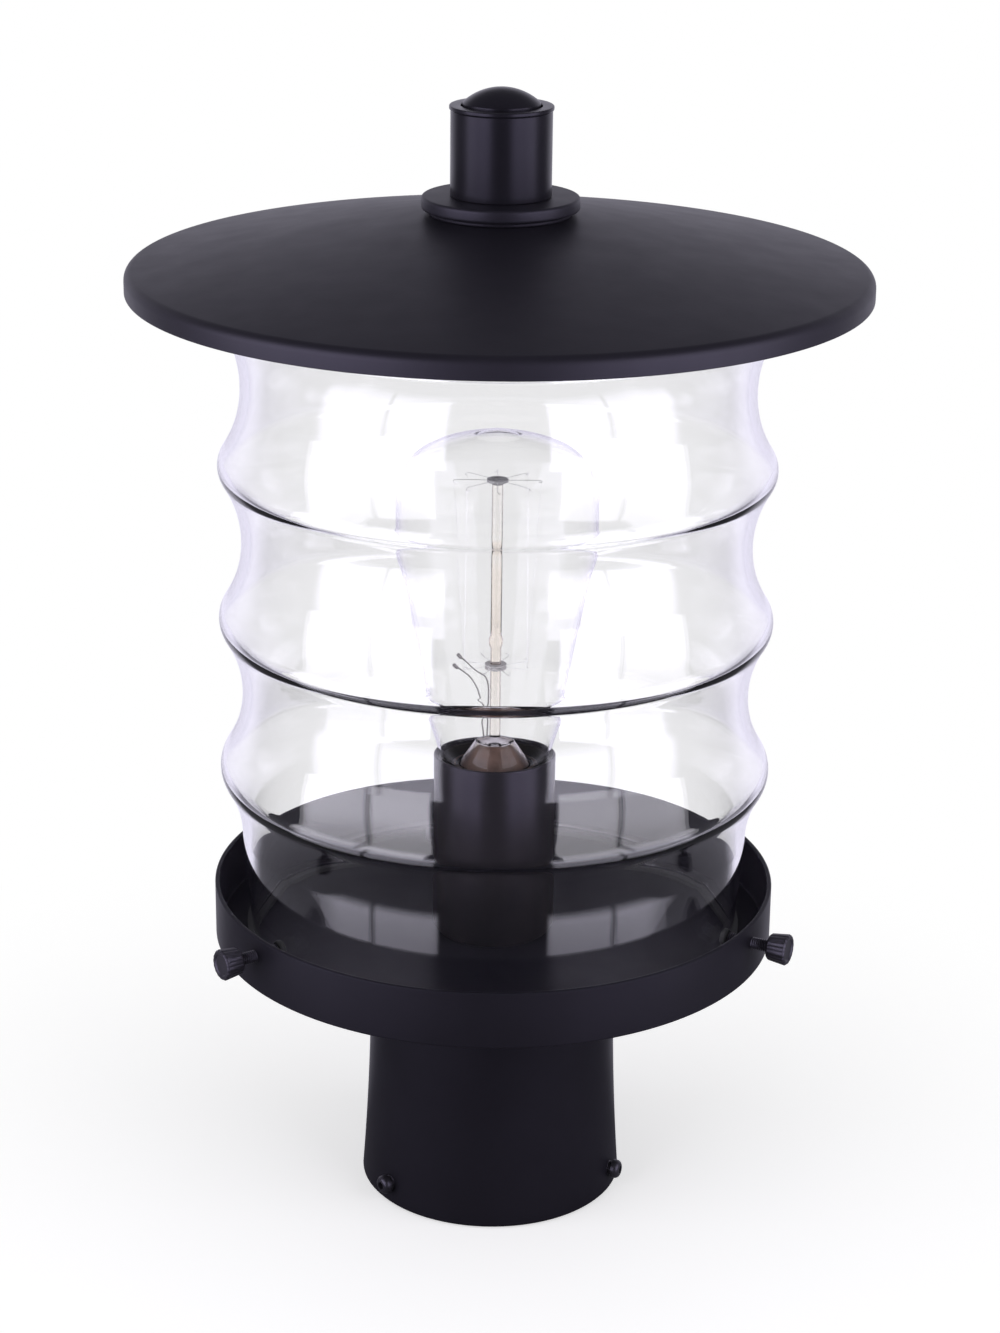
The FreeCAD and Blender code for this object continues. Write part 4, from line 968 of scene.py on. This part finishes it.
def thumb_screw(number, angle):
    start = TIP_FACE + TIP_LENGTH
    outline = [(0, start), (1.5, start)]
    outline += thread(THUMB_RADIUS, 1.72, start + 0.4, HEAD_START, 0.7)
    outline += softened([(THUMB_RADIUS, HEAD_START), (3.7, HEAD_START), (4.3, HEAD_START + 0.6),
                         (HEAD_RADIUS, HEAD_END - 0.6), (HEAD_RADIUS - 0.5, HEAD_END),
                         (3.6, HEAD_END), (3.2, HEAD_END - 0.4), (0, HEAD_END - 0.4)], 0.35)
    name = f"thumb_screw_{number}"
    mesh = laid_out(turned_mesh(name + "_turned", outline, 128, knurled), angle, THUMB_Z)
    finished(name + "_turned", mesh, "black_screw", name, (name,))
    back = start - TIP_GAP
    tip = softened([(0, TIP_FACE), (1.8, TIP_FACE), (TIP_RADIUS, TIP_FACE + 0.7),
                    (TIP_RADIUS, start - 0.5), (TIP_RADIUS - 0.4, back), (0, back)], 0.4, 5)
    name = f"thumb_tip_{number}"
    mesh = laid_out(turned_mesh(name + "_turned", tip, AROUND_SMALL), angle, THUMB_Z)
    finished(name + "_turned", mesh, "rubber", name, (f"thumb_screw_tip_{number}",))


def socket_head(radius, start, shank, head_radius, head, pitch, key):
    """Outline and form of a round-headed screw with a hexagon socket, drawn along +Z."""
    top = start + shank + head
    key_floor = top - head * 0.6
    outline = [(0, start), (radius - 0.5, start)]
    outline += thread(radius, radius - 0.3, start + 0.4, start + shank, pitch)
    outline += path((head_radius - 0.15, start + shank), (head_radius, start + shank + 0.2),
                    (head_radius, start + shank + head * 0.35),
                    ((head_radius * 0.88, top - head * 0.22), (head_radius * 0.55, top)),
                    (key, top), (key * 0.92, top - 0.2), (key * 0.92, key_floor),
                    (0, key_floor - 0.4), count=6)

    def form(far, height, angle):
        return far * hexagonal(angle) if height > key_floor - 0.1 and far <= key else far
    return outline, form


def round_screw(name, node, body, angle, height, size, look):
    outline, form = socket_head(**size)
    mesh = laid_out(turned_mesh(name, outline, 72, form), angle, height)
    finished(name, mesh, look, body, (node,))


def screws():
    for number, angle in enumerate(THUMB_ANGLES, start=1):
        thumb_screw(number, angle)
    mesh = joined("screw_collars", [collar(angle) for angle in THUMB_ANGLES])
    finished("screw_collars", mesh, "pan_metal", "stand")
    for number, angle in enumerate(SET_ANGLES, start=1):
        name = f"set_screw_{number}"
        round_screw(name + "_turned", name, name, angle, SET_Z, SET_SCREW, "black_screw")
    round_screw("cover_side_screw", "cover_screw", "stand", -90, COVER_SCREW_Z, COVER_SCREW,
                "black_screw")


screws()


# ---------------------------------------------------------------- camera
def camera():
    """The photograph's camera, solved from the outlines of the round rims."""
    place = Vector((0.0, -0.91657, 0.51136))
    pitch = math.radians(19.924)
    roll = math.radians(0.6566)
    yaw = math.radians(0.0859)
    ahead = Vector((math.sin(yaw) * math.cos(pitch), math.cos(yaw) * math.cos(pitch),
                    -math.sin(pitch)))
    right = Vector((math.cos(yaw), -math.sin(yaw), 0))
    up = right.cross(ahead)
    level = right * math.cos(roll) + up * math.sin(roll)
    sky = up * math.cos(roll) - right * math.sin(roll)
    data = bpy.data.cameras.new("camera")
    data.sensor_width = 36.0
    data.lens = 82.49
    data.clip_start = 0.01
    data.clip_end = 50
    item = placed("camera", data)
    turn = Matrix((level, sky, -ahead)).transposed().to_4x4()
    item.matrix_world = Matrix.Translation(place) @ turn
    bpy.context.scene.camera = item


# ---------------------------------------------------------------- light and floor
PANELS_START = 27.0           # degrees from the front; the lamps stand from here
PANELS_SEAM = 55.0            # the gap between the two lamps of a side
PANELS_END = 87.0
FLOOR_SECTOR = (22.0, 50.0, 83.0)      # the same three, where the lamps' light lies on the floor
FLOOR_NEAR = 0.246            # and how far from the axis it starts, in metres
FLOOR_FAR = 0.325
CORNER_SECTOR = 20.0          # the last degrees, where the floor's light starts further out
CORNER_CUT = 0.05             # by this much, in metres
GAP_DARK = (0.6, 1.4, 0.15)   # the mirrored gap: dark to, light from, how dark
LAMP_GAP = 0.9                # half of the gap between two lamps, in degrees
LAMP_POWER = 6.5
BACK_STARTS = 126.0           # the white backdrop is behind this
BACK_EDGE = 12.0              # and fades in over this much to both sides
LAVENDER = (0.88, 0.855, 1.0, 1.0)
LAMP_COLOUR = (0.95, 0.93, 1.0)
ROOM = 0.04                   # brightness of the dark room in reflections
SIDE_ROOM = 0.22
PANEL_GLOW = 1.6              # brightness of the lamps' own reflections, right and left
PANEL_GLOW_LEFT = 2.9
FLOOR_GLOW = 2.7              # and of the floor that they light, far and near
FLOOR_GLOW_NEAR = 0.9
CEILING_STARTS = 0.20         # the backdrop's light fades between these heights
CEILING_FULL = 0.68
ROOM_LIGHT = 0.35
FLOOR_LIFT = 0.50
FLOOR_RADIUS = 12.0
FLOOR_SIDES = 96
FLOOR_DROP = 0.0004           # how far it lies under the object, in metres
SHADOW_FADE = (0.05, 0.30)    # shadowed inside, white outside
PANEL_DISTANCE = 1.4
PANEL_HEIGHT = 1.25


def softbox(name, start, end, power):
    """A tall soft lamp that stands on the floor between two angles from the front."""
    middle = math.radians((start + end) / 2)
    half = math.radians(abs(end - start) / 2)
    data = bpy.data.lights.new(name, "AREA")
    data.shape = "RECTANGLE"
    data.size = 2 * PANEL_DISTANCE * math.tan(half)
    data.size_y = PANEL_HEIGHT
    data.energy = power
    data.color = LAMP_COLOUR
    item = placed(name, data)
    away = Vector((math.sin(middle), -math.cos(middle), 0))
    item.location = away * PANEL_DISTANCE + Vector((0, 0, PANEL_HEIGHT / 2))
    item.rotation_euler = (-away).to_track_quat("-Z", "Y").to_euler()
    item.visible_camera = False


def sight_only(tree, rays, value):
    """The value, but 0 for rays that carry light to a dull surface."""
    unlit = math_node(tree, "LESS_THAN", rays.outputs["Diffuse Depth"], 0.5)
    return math_node(tree, "MULTIPLY", value, unlit)


def seen_ray(tree, rays):
    """1 for camera, glossy and transmission rays, unless they light a dull surface."""
    either = math_node(tree, "MAXIMUM", rays.outputs["Is Camera Ray"],
                       rays.outputs["Is Glossy Ray"], rays.outputs["Is Transmission Ray"])
    return sight_only(tree, rays, either)


def mirrored_ray(tree, rays):
    """1 once a ray has been reflected by something shiny, else 0."""
    return sight_only(tree, rays, math_node(tree, "MINIMUM", rays.outputs["Glossy Depth"], 1.0))


def light_colour(tree, rays):
    """White, and a cool tone in reflections."""
    return colour_mix(tree, mirrored_ray(tree, rays), (1, 1, 1, 1), LAVENDER)


def angle_from_front(tree, parts):
    """How far round a place or a direction lies from the front, in degrees, either way."""
    ahead = math_node(tree, "MULTIPLY", parts.outputs["Y"], -1.0)
    turn = math_node(tree, "ABSOLUTE", math_node(tree, "ARCTAN2", parts.outputs["X"], ahead))
    return math_node(tree, "DEGREES", turn)


def backdrop(tree, angle):
    """0 round to the sides and 1 behind the object."""
    return smooth_step(tree, angle, BACK_STARTS - BACK_EDGE, BACK_STARTS + BACK_EDGE)


def panels(tree, angle, start, seam, end, edge=1.2):
    """1 where the lamps stand, with the thin gap between them, and 0 elsewhere."""
    rising = smooth_step(tree, angle, start - edge, start + edge)
    falling = smooth_step(tree, angle, end - 3 * edge, end + 3 * edge, 1.0, 0.0)
    gap = math_node(tree, "ABSOLUTE", math_node(tree, "SUBTRACT", angle, seam))
    dark_to, light_from, darkest = GAP_DARK
    beside_gap = smooth_step(tree, gap, dark_to, light_from, darkest, 1.0)
    return math_node(tree, "MULTIPLY", rising, falling, beside_gap)


def room(tree, angle):
    """Brightness of the room beside the lamps in reflections."""
    return smooth_step(tree, angle, PANELS_START, PANELS_END, ROOM, SIDE_ROOM)


def world():
    """White to the camera and through glass, and a quiet grey as light.  In reflections it is
    white behind the object up to a dark ceiling, and dark where the camera stands."""
    space = bpy.data.worlds.new("studio")
    bpy.context.scene.world = space
    space.use_nodes = True
    tree = space.node_tree
    background = tree.nodes["Background"]
    rays = add(tree, "LightPath")
    place = add(tree, "TexCoord").outputs["Generated"]
    parts = add(tree, "SeparateXYZ", {"Vector": place})
    angle = angle_from_front(tree, parts)
    walls = smooth_step(tree, parts.outputs["Z"], CEILING_STARTS, CEILING_FULL, 1.0, 0.0)
    behind = math_node(tree, "MULTIPLY", backdrop(tree, angle), walls)
    lamps = panels(tree, angle, PANELS_START, PANELS_SEAM, PANELS_END)
    power = smooth_step(tree, parts.outputs["X"], -0.01, 0.01, PANEL_GLOW_LEFT, PANEL_GLOW)
    lamps = math_node(tree, "MULTIPLY", lamps, power, walls)
    reflected = math_node(tree, "MAXIMUM", behind, lamps, room(tree, angle))
    direct = add(tree, "Mix", {"Factor": seen_ray(tree, rays), "A": ROOM_LIGHT, "B": 1.0})
    strength = add(tree, "Mix", {"Factor": mirrored_ray(tree, rays),
                                 "A": direct.outputs["Result"], "B": reflected})
    fill(tree, background, {"Color": light_colour(tree, rays),
                            "Strength": strength.outputs["Result"]})


def floor():
    """A pale floor that shows the shadow near the object and white further off; in reflections
    it is bright beside the lamps and behind the object."""
    work = bmesh.new()
    bmesh.ops.create_circle(work, cap_ends=True, radius=FLOOR_RADIUS, segments=FLOOR_SIDES)
    mesh = as_mesh("floor", work)
    item = placed("floor", mesh)
    item.location.z = -FLOOR_DROP
    material, tree, shader = new_material("floor")
    fill(tree, shader, {"Base Color": (0.80, 0.80, 0.80, 1), "Roughness": 0.9,
                        "Specular IOR Level": 0.0})
    dull = shader.outputs["BSDF"]
    rays = add(tree, "LightPath")
    place = add(tree, "TexCoord").outputs["Object"]
    parts = add(tree, "SeparateXYZ", {"Vector": place})
    angle = angle_from_front(tree, parts)
    distance = add(tree, "VectorMath", {0: place}, operation="LENGTH").outputs["Value"]
    lifted = add(tree, "AddShader", {0: dull, 1: glow(tree, FLOOR_LIFT)}).outputs["Shader"]
    shown = shader_mix(tree, smooth_step(tree, distance, *SHADOW_FADE), lifted, glow(tree, 1.0))
    end = FLOOR_SECTOR[2]
    corner = smooth_step(tree, angle, end - CORNER_SECTOR, end, 0.0, CORNER_CUT)
    away = math_node(tree, "SUBTRACT", distance, corner)
    starts = smooth_step(tree, away, FLOOR_NEAR, FLOOR_NEAR + 0.01)
    rises = smooth_step(tree, away, FLOOR_NEAR, FLOOR_FAR, FLOOR_GLOW_NEAR, FLOOR_GLOW)
    lit = math_node(tree, "MULTIPLY", starts, rises)
    lamps = math_node(tree, "MULTIPLY", panels(tree, angle, *FLOOR_SECTOR), lit)
    bright = math_node(tree, "MAXIMUM", lamps, backdrop(tree, angle), room(tree, angle))
    sight = shader_mix(tree, mirrored_ray(tree, rays), shown, glow(tree, bright, LAVENDER))
    surface = shader_mix(tree, seen_ray(tree, rays), dull, sight)
    tree.links.new(surface, tree.nodes["Material Output"].inputs["Surface"])
    mesh.materials.append(material)


camera()
world()
floor()
for side, name in ((-1, "left"), (1, "right")):
    softbox(f"{name}_near_lamp", side * PANELS_START, side * (PANELS_SEAM - LAMP_GAP), LAMP_POWER)
    softbox(f"{name}_far_lamp", side * (PANELS_SEAM + LAMP_GAP), side * PANELS_END, LAMP_POWER)

scene = bpy.context.scene
scene.view_settings.view_transform = "Standard"
